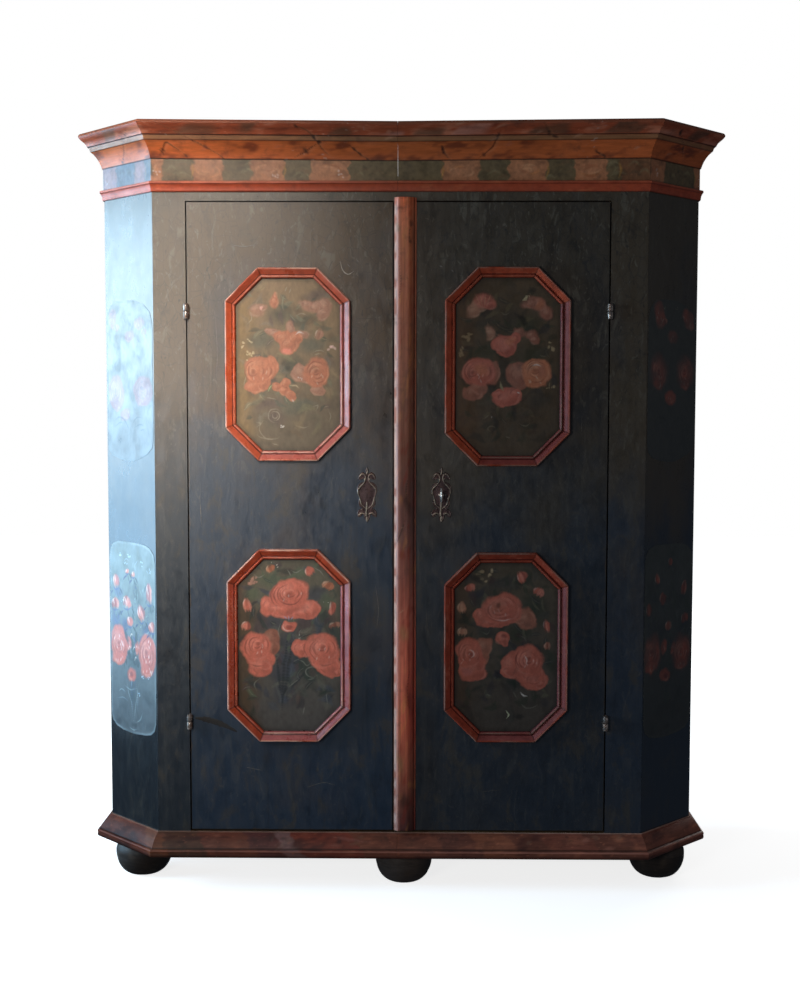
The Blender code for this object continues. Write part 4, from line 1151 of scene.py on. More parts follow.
def lobe(canvas, across, up, wide, tall, tones, turn=0.0, hatch=0, strength=0.92):
    """One loose petal: two or three brushed dabs, lighter at its foot, with loose hatching where asked."""
    dark, middle, light, pale = tones
    rng = np.random.default_rng(int(abs(across * 13 + up * 7)) + hatch)
    turned = turner(across, up, turn)
    for _ in range(3):
        a, z = turned(wide * rng.uniform(-0.25, 0.25), tall * rng.uniform(-0.2, 0.2))
        tone = middle * rng.uniform(0.86, 1.10)
        canvas.spot(
            a, z, wide * rng.uniform(0.85, 1.05), tall * rng.uniform(0.82, 1.02), tone,
            turn + rng.uniform(-0.3, 0.3), 0.38, strength * 0.8,
        )
    first = rng.uniform(-2.9, -2.0)
    rim = petal_arc(turned, wide * 0.72, tall * 0.72, first, 1.6)
    canvas.stroke(rim, min(wide, tall) * 0.34, light, 0.55 * strength, (0.15, 0.15), 0.35, 1.8)
    first = rng.uniform(0.3, 1.2)
    top = petal_arc(turned, wide * 0.78, tall * 0.78, first, 1.3)
    canvas.stroke(top, 3.4, dark, 0.42 * strength, (0.2, 0.2), soft=1.5)
    for _ in range(hatch):
        x, z = wide * rng.uniform(-0.65, 0.65), tall * rng.uniform(-0.5, 0.3)
        canvas.stroke(
            [turned(x, z + 4), turned(x + rng.uniform(-4, 4), z - 4)], rng.uniform(2.2, 3.4), pale, 0.38,
            (0.3, 0.1), soft=1.2,
        )


def bud(canvas, across, up, wide, tall, tones, turn, rim=1.0):
    """A small closed flower: short strokes side by side, with a pale rim on one side."""
    dark, middle, light, pale = tones
    rng = np.random.default_rng(int(abs(across * 11 + up * 5)))
    turned = turner(across, up, turn)
    canvas.spot(across, up, wide * 0.9, tall * 0.85, middle, turn, 0.4, 0.8)
    for shift in (-0.5, 0.0, 0.45):
        tone = (middle, light, dark)[rng.integers(3)]
        path = [
            turned(wide * shift * 1.1, -tall * 0.85), turned(wide * shift * 1.3, 0),
            turned(wide * shift * 0.6, tall * 0.9),
        ]
        canvas.stroke(path, wide * 0.55, tone, 0.6, (0.35, 0.15), 0.35, 1.8)
    first = rng.uniform(1.6, 2.6)
    edge = petal_arc(turned, wide * 0.80, tall * 0.80, first, 1.4)
    canvas.stroke(edge, max(2.6, wide * 0.24), pale, 0.42 * rim, (0.2, 0.2), 0.3, 1.4)


def leaf(canvas, across, up, length, wide, angle, colour, vein=None, strength=0.85):
    cos, sin = math.cos(angle), math.sin(angle)
    bend = 0.10 * length
    ends = [
        (across - cos * length / 2, up - sin * length / 2), (across - sin * bend, up + cos * bend),
        (across + cos * length / 2, up + sin * length / 2),
    ]
    canvas.stroke(ends, wide, colour, strength, (0.25, 0.1), 0.3, wide * 0.22)
    if vein is not None:
        canvas.stroke(ends, 1.8, vein, 0.5, (0.4, 0.2), soft=0.6)


def strew(canvas, rng, count, spread, lengths, widths, turns, tones, strength):
    """Leaves at random. Each pair gives a lowest and highest value, and spread has one for across and up."""
    for _ in range(count):
        a, z = rng.uniform(*spread[0]), rng.uniform(*spread[1])
        tone = tones[rng.integers(len(tones))] if len(tones) > 1 else tones[0]
        leaf(
            canvas, a, z, rng.uniform(*lengths), rng.uniform(*widths), rng.uniform(*turns), tone, None,
            strength,
        )


def foliage(canvas, seed, count, spread, colours, vein, strength):
    """Loose leaves behind the flowers. spread gives the lowest and highest across and up."""
    rng = np.random.default_rng(seed)
    for number in range(count):
        a, z = rng.uniform(*spread[0]), rng.uniform(*spread[1])
        colour = colours[number % len(colours)]
        shown = vein if number % 3 == 0 else None
        leaf(
            canvas, a, z, rng.uniform(16, 40), rng.uniform(6, 13), rng.uniform(0, 3.1), colour, shown,
            strength,
        )


def mottle(canvas, seed, count, tints, strength):
    """Broad loose dabs of other screen colours in the ground, which later strokes half cover."""
    tones = [light_of(*tint) for tint in tints]
    rng = np.random.default_rng(seed)
    for number in range(count):
        a, z = rng.uniform(-112, 114), rng.uniform(-176, 205)
        lean, reach = rng.uniform(0, 3.1), rng.uniform(9, 24)
        ends = [
            (a - reach * math.cos(lean), z - reach * math.sin(lean)),
            (a + rng.uniform(-5, 5), z + rng.uniform(-5, 5)),
        ]
        ends.append((a + reach * math.cos(lean + 0.5), z + reach * math.sin(lean + 0.5)))
        canvas.stroke(
            ends, rng.uniform(8, 20), tones[number % len(tones)], strength * rng.uniform(0.5, 1.0),
            (0.3, 0.2), 0.45, 4.0,
        )


def scribble(canvas, marks, colour, strength, wide=2.2):
    """Thin loose brush lines, each a list of points."""
    for mark in marks:
        canvas.stroke(mark, wide, colour, strength, (0.3, 0.2), soft=0.8)


def tones_of(*rows):
    """A flower's dark, middle, light and pale tones, as linear light."""
    return tuple(np.array(row) for row in rows)


WARM = tones_of((0.26, 0.075, 0.038), (0.50, 0.168, 0.082), (0.64, 0.29, 0.165), (0.80, 0.62, 0.45))
FADED = tones_of((0.24, 0.11, 0.065), (0.40, 0.185, 0.115), (0.52, 0.30, 0.20), (0.72, 0.60, 0.46))
HOT = tones_of((0.17, 0.032, 0.024), (0.46, 0.120, 0.078), (0.60, 0.22, 0.16), (0.78, 0.56, 0.50))
DULL = tones_of((0.16, 0.05, 0.032), (0.32, 0.115, 0.072), (0.46, 0.22, 0.15), (0.66, 0.54, 0.42))
CREAM = light_of(226, 206, 160)
WHITISH = light_of(222, 214, 205)


def panel_ends(name):
    centre, low, high = PANELS[name]
    inset = MOULD_WIDTH - 0.0012
    half = (PANEL_HALF - inset) * 1000
    cut = (PANEL_CORNER - inset * (2 - math.sqrt(2))) * 1000
    tall = ((high - low) / 2 - inset) * 1000

    def ends(up):
        reach = half - max(0.0, abs(up) - (tall - cut))
        return -reach, reach

    return -tall, tall, ends


def panel_place(name):
    centre, low, high = PANELS[name]
    middle = (low + high) / 2

    def place(across, up):
        board = np.column_stack([centre + across / 1000, np.full(len(up), FACE_Y), middle + up / 1000])
        return board, np.array([0.0, -1.0, 0.0])

    return place


def ground(across, up, foot, head, warm, seed):
    """A panel's ground: darker towards its foot, warmer along its left side, clouded, and shaded along its
    edges with a painted shadow of the moulding, deepest at the upper left.
    foot, head and warm are screen colours."""
    foot, head, warm = light_of(*foot), light_of(*head), light_of(*warm)
    spots = np.stack([across, up], 1)
    base = blend(foot, head, ease(-210, 210, up))
    base = blend(base, warm, 0.75 * (1 - ease(-115, -60, across + 12 * noise(spots, 40, seed + 7))))
    cloud = clouds(spots, seed, (34, 0.6), (12, 0.4))
    base = blend(base, base * 0.62, 0.6 * ease(0.0, 0.8, cloud))
    base = blend(base, base * 1.28, 0.5 * ease(0.1, 0.8, -cloud))
    half, tall = across.max(), up.max()
    reach = half + tall - 65
    gap = np.minimum(
        half - np.abs(across),
        np.minimum(tall - np.abs(up), (reach - np.abs(across) - np.abs(up)) / math.sqrt(2)),
    )
    # Painted shadow along the panel's edges, cast by the moulding: deeper at the upper left, lighter at the
    # lower right.
    lit = ease(-60, 60, across - 0.4 * up)
    base = base * (1 - (0.50 - 0.25 * lit) * (1 - ease(1, 14, gap)))[:, None]
    return Canvas(across, up, base, seed, 5.5)


def paint_upper_left(across, up):
    canvas = ground(across, up, (106, 92, 72), (136, 110, 78), (134, 106, 58), 201)
    grey_green, deep_green, mauve = light_of(88, 92, 76), light_of(62, 68, 54), light_of(92, 74, 68)
    canvas.dabs((
        (-14, 124, 36, 30, deep_green), (40, 108, 46, 18, deep_green), (58, 48, 40, 24, grey_green),
        (4, 0, 28, 28, deep_green), (-66, 62, 40, 26, grey_green), (92, 6, 28, 20, mauve),
        (-45, -96, 44, 14, mauve), (30, -98, 55, 24, grey_green), (70, 170, 40, 16, mauve),
        (-30, -128, 26, 26, mauve),
    ), 0.2, 0.8, 0.66)
    foliage(
        canvas, 202, 60, ((-105, 105), (-130, 175)), (deep_green, light_of(118, 116, 92), mauve, grey_green),
        light_of(170, 156, 120), 0.6,
    )
    tints = ((150, 128, 92), (92, 88, 66), (124, 116, 100), (112, 84, 54), (132, 122, 84))
    mottle(canvas, 250, 60, tints, 0.45)
    mass(canvas, ((-76, 132, 23, 15), (-62, 140, 13, 10)), FADED, 0.8, 0.5)
    dots(canvas, -64, 136, 11, light_of(230, 176, 160), 5, 0.5)
    mass(canvas, ((-34, 156, 12, 16), (-32, 168, 7, 10)), WARM, 0.85, 0.4)
    mass(
        canvas, ((46, 146, 17, 12), (68, 142, 22, 15), (90, 144, 16, 19), (84, 126, 16, 18)), FADED, 0.9, 0.4,
    )
    mass(canvas, ((4, 86, 13, 18), (-30, 76, 20, 12), (-44, 80, 9, 8), (34, 74, 20, 11)), FADED, 0.9, 0.4)
    mass(canvas, ((-14, 64, 22, 20), (16, 64, 20, 18), (0, 48, 24, 22)), WARM)
    canvas.spot(-2, 32, 13, 9, light_of(236, 142, 122), 0.0, 0.5, 0.55)
    canvas.stroke([(20, 74), (29, 80), (39, 76)], 3.4, WHITISH, 0.6)
    mass(canvas, ((-42, -2, 17, 24), (-78, -50, 25, 19), (-58, -48, 16, 18), (-70, -30, 30, 18)), WARM)
    rose(canvas, -70, -13, 38, 33, WARM, (-0.42, -0.12), 2.4, 3)
    mass(canvas, ((28, -20, 20, 20), (46, -26, 18, 20), (74, -62, 18, 14)), FADED, 0.92)
    rose(canvas, 70, -19, 33, 35, WARM, (-0.08, 0.1), 1.2, 4)
    dots(canvas, 32, -32, 7, WHITISH, 4, 0.5)
    mass(canvas, ((-25, -52, 13, 10), (-4, -48, 13, 13), (-6, -64, 15, 14), (8, -76, 13, 12)), WARM)
    canvas.stroke([(6, -52), (18, -50), (27, -56)], 4, CREAM, 0.4)
    canvas.stroke([(10, -84), (15, -90)], 4, WHITISH, 0.45)
    bud(canvas, 75, 76, 10, 13, FADED, -0.3)
    for a, z in ((-111, 45), (-90, 61), (-99, 22), (-88, 23)):
        dots(canvas, a, z, 11, CREAM, 4, 0.45)
    dots(canvas, 107, 41, 12, light_of(226, 190, 178), 5, 0.55)
    leaf(canvas, -42, -57, 20, 6, 1.0, light_of(96, 120, 76), CREAM)
    pale = light_of(168, 156, 132)
    scribble(canvas, (
        [(62, 30), (76, 36), (92, 30)], [(66, 24), (80, 27)], [(-6, 178), (-2, 190)], [(4, 174), (8, 186)],
        [(-52, -80), (-30, -84)], [(60, -104), (72, -100), (66, -114)],
        [(98, -106), (104, -126), (100, -138)], [(-80, -138), (-68, -143), (-78, -152)],
        [(-38, -192), (-26, -196)], [(20, -150), (36, -154), (50, -150)],
        [(-98, 100), (-88, 112), (-92, 126)], [(20, 120), (34, 126), (48, 120)], [(-104, -20), (-108, -60)],
    ), pale, 0.42, 3.0)
    for radius, weight in ((17, 0.4), (11, 0.5), (6, 0.5)):
        scribble(canvas, (arc_path(-32, -124, radius, radius, radius * 0.4, 4.6),), pale, weight, 2.8)
    scribble(
        canvas, (arc_path(-46, -156, 24, 26, 2.2, 3.2), arc_path(-48, -168, 30, 14, 3.4, 2.4)), pale, 0.3,
        3.4,
    )
    dots(canvas, -10, -148, 8, WHITISH, 5, 0.7)
    return canvas


def paint_lower_left(across, up):
    hot = tuple(np.minimum(0.85, 1.4 * tone) for tone in HOT)
    canvas = ground(across, up, (82, 78, 74), (98, 92, 76), (82, 60, 34), 211)
    slate, deep_green, moss, plum = (
        light_of(58, 62, 72), light_of(44, 58, 52), light_of(86, 96, 74), light_of(72, 56, 60),
    )
    canvas.dabs((
        (56, -68, 34, 26, deep_green), (-18, -74, 30, 36, slate), (73, 128, 34, 22, slate),
        (-64, 58, 26, 26, plum), (-34, 56, 28, 20, slate), (92, 70, 24, 26, deep_green),
        (42, 56, 32, 24, plum), (4, 12, 32, 32, slate), (-40, 165, 40, 18, moss), (20, 178, 40, 14, moss),
        (-90, 128, 22, 22, moss), (96, 112, 18, 22, moss), (4, -34, 30, 44, slate),
        (116, 20, 14, 40, deep_green), (-10, -120, 34, 34, slate), (30, -40, 24, 24, deep_green),
    ), 0.2, 0.7, 0.75)
    foliage(
        canvas, 212, 76, ((-108, 112), (-140, 200)), (slate, deep_green, moss, plum, light_of(38, 42, 46)),
        light_of(138, 142, 126), 0.7,
    )
    tints = ((64, 74, 88), (32, 46, 38), (108, 108, 94), (34, 34, 44), (96, 74, 66), (52, 68, 58))
    mottle(canvas, 220, 84, tints, 0.62)
    for path in (
        [(-5, 10), (-12, -50), (-16, -110), (-18, -162)], [(6, 6), (-2, -52), (-10, -108), (-20, -150)],
        [(-30, -40), (-24, -84), (-20, -130)], [(44, -60), (16, -92), (-8, -112), (-18, -140)],
    ):
        canvas.stroke(path, 9, light_of(36, 40, 46), 0.75, (0.5, 0.2), 0.3, 2.0)
    for path in (
        [(-34, -96), (-26, -120), (-20, -150)], [(24, -70), (2, -100), (-14, -130)],
        [(50, -84), (20, -112), (-6, -136)],
    ):
        canvas.stroke(path, 7, light_of(96, 98, 92), 0.45, (0.3, 0.2), 0.3, 2.0)
    mass(
        canvas, ((-50, 98, 20, 27), (-18, 90, 42, 20), (53, 90, 28, 22), (34, 80, 24, 16), (6, 100, 46, 22)),
        hot,
    )
    rose(canvas, 3, 130, 47, 36, hot, (0.0, 0.04), 2.3, 8)
    canvas.stroke(arc_path(2, 126, 27, 25, 3.5, 2.5), 3.6, hot[0], 0.7, (0.3, 0.3))
    for shift in (0, 6, 12):
        path = arc_path(-4 + shift * 0.3, 126, 40 - shift, 36 - shift, 2.4, 1.6)
        canvas.stroke(path, 3.0, hot[0], 0.7, (0.2, 0.2))
    mass(canvas, ((-44, 14, 20, 27), (-40, -8, 16, 20)), DULL, 0.9)
    mass(canvas, ((-71, -57, 30, 24), (-62, -40, 26, 22), (-74, -30, 32, 20)), hot)
    rose(canvas, -81, -2, 36, 37, hot, (0.0, 0.15), 2.2, 9)
    canvas.stroke([(-96, -47), (-80, -53), (-56, -50)], 3.4, hot[0], 0.6)
    mass(
        canvas,
        ((26, -9, 19, 24), (42, -10, 18, 22), (97, -54, 30, 25), (118, -68, 10, 9), (84, -36, 34, 22)), hot,
    )
    rose(canvas, 82, -8, 41, 37, hot, (-0.05, 0.15), 2.5, 10)
    canvas.stroke([(44, 12), (38, -10), (46, -32)], 3.4, hot[0], 0.6)
    canvas.stroke([(70, -44), (92, -50), (112, -44)], 3.2, hot[0], 0.5)
    mass(canvas, ((0, 48, 21, 16),), hot)
    canvas.spot(2, 48, 10, 8, hot[0] * 1.3, 0.0, 0.5, 0.8)
    canvas.stroke(arc_path(0, 48, 16, 12, 2.6, 2.6), 3.4, hot[3], 0.45)
    scribble(
        canvas, ([(-12, 74), (-2, 68)], [(1, 76), (2, 64)], [(12, 73), (6, 66)]), light_of(150, 160, 190),
        0.7, 2.6,
    )
    for a, z, w, t, turn, tones in (
        (-103, 100, 12, 19, 0.1, hot), (-108, 48, 12, 13, -0.2, hot), (-46, 193, 12, 11, 0.4, WARM),
        (51, 185, 13, 12, 0.7, hot), (97, 150, 17, 10, -0.5, WARM), (107, 94, 8, 19, 0.15, hot),
        (112, 51, 17, 8, 0.1, DULL),
    ):
        bud(canvas, a, z, w, t, tones, turn)
    dots(canvas, -88, 160, 16, light_of(222, 160, 140), 8, 0.5)
    dots(canvas, -40, 200, 8, WHITISH, 4, 0.5)
    dots(canvas, 94, 108, 6, WHITISH, 3, 0.6)
    dots(canvas, 29, 21, 8, light_of(200, 206, 190), 4, 0.6)
    scribble(canvas, (
        [(22, -36), (34, -42), (42, -50), (52, -44)], arc_path(58, -66, 18, 13, 0.4, 5.2),
        [(-4, -104), (12, -92), (26, -80)], [(36, -152), (34, -172)], [(92, -120), (94, -146)],
        [(-74, -84), (-86, -96), (-80, -112)], [(44, -84), (60, -82)], [(34, 190), (18, 182), (4, 188)],
        [(-20, 64), (-28, 36), (-20, 14)], [(60, 196), (76, 184), (88, 170)],
        [(-60, 176), (-74, 168), (-90, 180)], [(-4, 190), (4, 174)],
    ), light_of(146, 148, 136), 0.5, 2.8)
    return canvas


def paint_upper_right(across, up):
    canvas = ground(across, up, (76, 60, 43), (84, 66, 46), (86, 60, 34), 221)
    dusk, moss, olive = light_of(48, 42, 34), light_of(52, 54, 36), light_of(100, 86, 60)
    canvas.dabs((
        (10, 120, 34, 40, dusk), (50, 100, 40, 24, moss), (-50, 40, 44, 24, moss), (60, 30, 36, 20, moss),
        (-2, 0, 26, 34, dusk), (-60, 105, 40, 16, dusk), (4, -30, 20, 20, dusk), (80, -80, 34, 20, dusk),
    ), 0.2, 0.8, 0.62)
    foliage(canvas, 222, 54, ((-104, 106), (-130, 170)), (dusk, moss, olive), light_of(132, 114, 86), 0.55)
    tints = ((26, 36, 24), (66, 46, 34), (30, 30, 36), (74, 64, 48), (16, 18, 16), (44, 40, 26))
    mottle(canvas, 240, 76, tints, 0.62)
    mass(canvas, ((-85, 136, 20, 15), (-66, 148, 20, 16)), FADED, 0.8, 0.5)
    mass(canvas, ((-56, 160, 24, 18), (-42, 152, 16, 14)), HOT, 0.85, 0.45)
    for shift in (-16, -8, 0, 8):
        canvas.stroke(
            [(-56 + shift * 0.6, 146), (-54 + shift * 1.6, 178)], 3.2, WARM[2], 0.5, (0.3, 0.1), 0.3, 1.2,
        )
    mass(canvas, ((56, 156, 20, 14), (75, 150, 18, 16), (92, 130, 15, 17)), DULL, 0.9, 0.45)
    canvas.spot(78, 148, 14, 12, WARM[1], 0.4, 0.7, 0.6)
    dots(canvas, 48, 168, 9, CREAM, 4, 0.35)
    mass(canvas, ((-45, 82, 12, 17),), FADED, 0.8, 0.5)
    mass(canvas, ((28, 80, 17, 11), (58, 78, 15, 12), (66, 66, 10, 14)), DULL, 0.85, 0.45)
    mass(canvas, ((-8, 58, 30, 22), (-4, 44, 24, 20), (14, 68, 18, 14)), HOT)
    canvas.spot(4, 66, 17, 12, WARM[1], 0.0, 0.6, 0.55)
    mass(canvas, ((-34, -13, 18, 26), (-83, -64, 24, 18), (-66, -50, 20, 18)), DULL, 0.92)
    rose(canvas, -70, -11, 42, 34, HOT, (-0.40, -0.08), 2.2, 13)
    canvas.spot(-62, -10, 21, 20, WARM[1], 0.0, 0.8, 0.7)
    canvas.stroke(arc_path(-76, -13, 34, 32, 1.7, 2.4), 4.5, HOT[2], 0.55, soft=2.0)
    mass(canvas, ((26, -22, 27, 30), (44, -20, 20, 26)), DULL, 0.9)
    rose(canvas, 70, -11, 33, 34, WARM, (-0.12, 0.12), 1.0, 14)
    canvas.spot(78, -8, 13, 16, DULL[1], 0.0, 0.7, 0.6)
    canvas.stroke([(60, 2), (70, 6), (80, 2)], 3.6, WHITISH, 0.5)
    mass(canvas, ((-2, -76, 32, 23), (-22, -66, 16, 15), (16, -64, 16, 14)), HOT)
    canvas.stroke([(22, -60), (29, -64)], 3.6, WHITISH, 0.6)
    leaf(canvas, -14, -46, 22, 7, 1.9, light_of(150, 136, 104))
    for a, z, s in ((-97, 72, 14), (-115, 36, 14), (109, 49, 13), (96, -46, 11)):
        dots(canvas, a, z, s, light_of(170, 146, 110), 6, 0.5)
    scribble(canvas, (
        [(-58, -124), (-46, -116)], arc_path(-38, -150, 9, 7, 0.5, 4.0), [(30, -138), (46, -142), (58, -134)],
        [(-6, -170), (8, -174)], [(78, 30), (92, 26)], [(-20, 132), (-8, 128), (4, 134)],
    ), light_of(130, 118, 96), 0.45, 2.8)
    dots(canvas, -50, -122, 7, WHITISH, 3, 0.6)
    return canvas


def paint_lower_right(across, up):
    canvas = ground(across, up, (70, 62, 55), (78, 68, 54), (70, 52, 36), 231)
    dusk, deep_green, olive = light_of(46, 46, 46), light_of(40, 50, 38), light_of(92, 88, 70)
    canvas.dabs((
        (70, 100, 34, 40, deep_green), (-60, 120, 30, 26, dusk), (34, 36, 34, 26, deep_green),
        (-50, 45, 26, 22, dusk), (4, -14, 16, 40, dusk), (110, -30, 14, 40, deep_green),
        (0, 160, 60, 20, dusk), (20, -90, 30, 24, dusk),
    ), 0.2, 0.7, 0.66)
    foliage(
        canvas, 232, 60, ((-106, 110), (-130, 195)), (dusk, deep_green, olive), light_of(116, 110, 92), 0.6,
    )
    tints = ((22, 36, 26), (58, 38, 40), (30, 32, 44), (60, 58, 52), (14, 16, 18), (34, 44, 30))
    mottle(canvas, 230, 84, tints, 0.66)
    mass(canvas, ((47, 70, 28, 25), (30, 76, 20, 20)), DULL, 0.92)
    mass(canvas, ((-58, 78, 23, 20), (-20, 64, 38, 15), (-40, 66, 20, 14)), HOT)
    rose(canvas, -10, 96, 46, 37, HOT, (-0.15, 0.1), 3.4, 18)
    canvas.spot(-18, 100, 20, 17, DULL[1], 0.0, 0.8, 0.6)
    canvas.spot(-16, 102, 8, 8, DULL[0], 0.0, 0.6, 0.8)
    canvas.stroke([(-26, 70), (-4, 66), (14, 72)], 3.4, HOT[3], 0.5)
    dots(canvas, -34, 75, 6, WHITISH, 3, 0.6)
    mass(canvas, ((-12, 21, 18, 15), (-8, 14, 12, 12)), HOT)
    canvas.spot(-8, 22, 8, 7, HOT[0], 0.0, 0.6, 0.7)
    mass(canvas, ((-54, -1, 22, 26), (-58, -22, 18, 22)), DULL, 0.92)
    mass(canvas, ((-78, -64, 32, 24), (-96, -56, 18, 16), (-80, -44, 32, 20)), HOT, 0.92)
    canvas.spot(-94, -64, 15, 9, light_of(190, 118, 112), -0.6, 0.6, 0.45)
    rose(canvas, -89, -16, 33, 37, HOT, (0.05, 0.0), 2.2, 19)
    canvas.stroke(arc_path(-88, -16, 9, 10, -1.3, 3.2), 3.4, HOT[3], 0.6)
    mass(
        canvas,
        ((16, -44, 25, 33), (6, -62, 20, 16), (72, -84, 30, 26), (62, -64, 32, 26), (88, -92, 16, 14)), HOT,
    )
    rose(canvas, 56, -34, 36, 37, HOT, (0.0, 0.1), 2.3, 20)
    canvas.stroke([(30, -12), (26, -32), (36, -52)], 3.8, HOT[0], 0.75)
    canvas.stroke([(46, -20), (52, -30), (50, -42)], 3.4, HOT[3], 0.6)
    canvas.stroke([(50, -88), (72, -90), (88, -84)], 3.2, HOT[0], 0.5)
    canvas.stroke([(38, -112), (44, -120), (54, -122)], 3.6, WHITISH, 0.75)
    for a, z, w, t, turn, tones in (
        (-89, 147, 14, 11, 0.4, HOT), (37, 176, 11, 17, 0.5, HOT), (82, 139, 16, 12, -0.5, HOT),
        (99, 53, 8, 19, 0.2, HOT), (104, 3, 9, 10, 0.0, DULL), (-108, 98, 11, 16, 0.1, FADED),
        (-108, 39, 14, 13, -0.1, FADED),
    ):
        bud(canvas, a, z, w, t, tones, turn, 0.7)
    dots(canvas, -45, 188, 14, light_of(190, 170, 136), 7, 0.5)
    dots(canvas, -60, 176, 12, light_of(150, 136, 108), 4, 0.4)
    canvas.stroke([(2, -158), (8, -168), (4, -178)], 4, light_of(200, 205, 170), 0.75)
    scribble(canvas, (
        [(-48, -118), (-34, -120)], [(20, -110), (30, -128)], arc_path(60, -140, 20, 12, 3.3, 2.6),
        [(-60, 40), (-46, 34), (-40, 44)], [(34, 30), (44, 22), (50, 8)],
    ), light_of(120, 118, 104), 0.45, 2.8)
    return canvas


picture_paint = painted_material("picture_paint", (120, 120, 60), 0.40, 0.12, 0.30, 0.6)
for panel, painter in (
    ("upper_left", paint_upper_left), ("lower_left", paint_lower_left), ("upper_right", paint_upper_right),
    ("lower_right", paint_lower_right),
):
    body = "left_door" if panel.endswith("left") else "right_door"
    place = panel_place(panel)
    picture(f"bouquet_{panel}", body, panel_ends(panel), place, painter, picture_paint)


# Pictures on the canted corners, across from 0 at their left edge to 212, up from the floor


def shape_rows(left, right):
    """The rows of a shape given by its left and right edges, as (up, across) points from its foot."""
    left, right = np.array(left, float), np.array(right, float)

    def ends(up):
        return float(np.interp(up, left[:, 0], left[:, 1])), float(np.interp(up, right[:, 0], right[:, 1]))

    return left[0, 0], left[-1, 0], ends


def cant_place(side):
    def place(across, up):
        back = across / 1000 if side > 0 else CANT_WIDTH - across / 1000
        leg = back / math.sqrt(2)
        board = np.column_stack([side * (HALF_WIDTH + leg), FACE_Y + leg, up / 1000])
        return board, np.array([side, -1.0, 0.0]) / math.sqrt(2)

    return place


LOW_LEFT_EDGE = (
    (366, 100), (368, 58), (375, 28), (388, 10), (408, 4), (810, 4), (834, 8), (848, 20), (855, 44),
)
LOW_RIGHT_EDGE = (
    (366, 112), (370, 160), (375, 184), (387, 200), (406, 207), (434, 208), (808, 208), (829, 203),
    (845, 188), (852, 164), (855, 130),
)
HIGH_LEFT_EDGE = (
    (1061, 100), (1064, 62), (1073, 24), (1088, 8), (1112, 4), (1412, 4), (1440, 12), (1456, 28),
    (1462, 50),
)
HIGH_RIGHT_EDGE = (
    (1061, 116), (1067, 146), (1080, 182), (1096, 203), (1120, 208), (1402, 207), (1428, 198), (1448, 170),
    (1462, 120),
)


def edge_gap(across, up, left, right):
    """How far each point lies inside a shape's edges, in millimetres."""
    left, right = np.array(left, float), np.array(right, float)
    near = np.full(len(across), 1e9)
    for line in (left, right, np.array([left[0], right[0]]), np.array([left[-1], right[-1]])):
        for (up_a, across_a), (up_b, across_b) in zip(line, line[1:]):
            way = np.array([across_b - across_a, up_b - up_a])
            length = max(1e-6, way @ way)
            share = np.clip(((across - across_a) * way[0] + (up - up_a) * way[1]) / length, 0, 1)
            gap = np.hypot(across - across_a - share * way[0], up - up_a - share * way[1])
            near = np.minimum(near, gap)
    return near


ROSY = tones_of((0.18, 0.026, 0.018), (0.47, 0.105, 0.060), (0.58, 0.24, 0.17), (0.80, 0.66, 0.56))
# The right cant's roses are a darker copy of the left's: painted shade.
SHADED_ROSY = tuple(0.75 * tone for tone in ROSY)
BLEACHED = tones_of((0.10, 0.060, 0.065), (0.17, 0.080, 0.085), (0.21, 0.13, 0.12), (0.26, 0.22, 0.19))


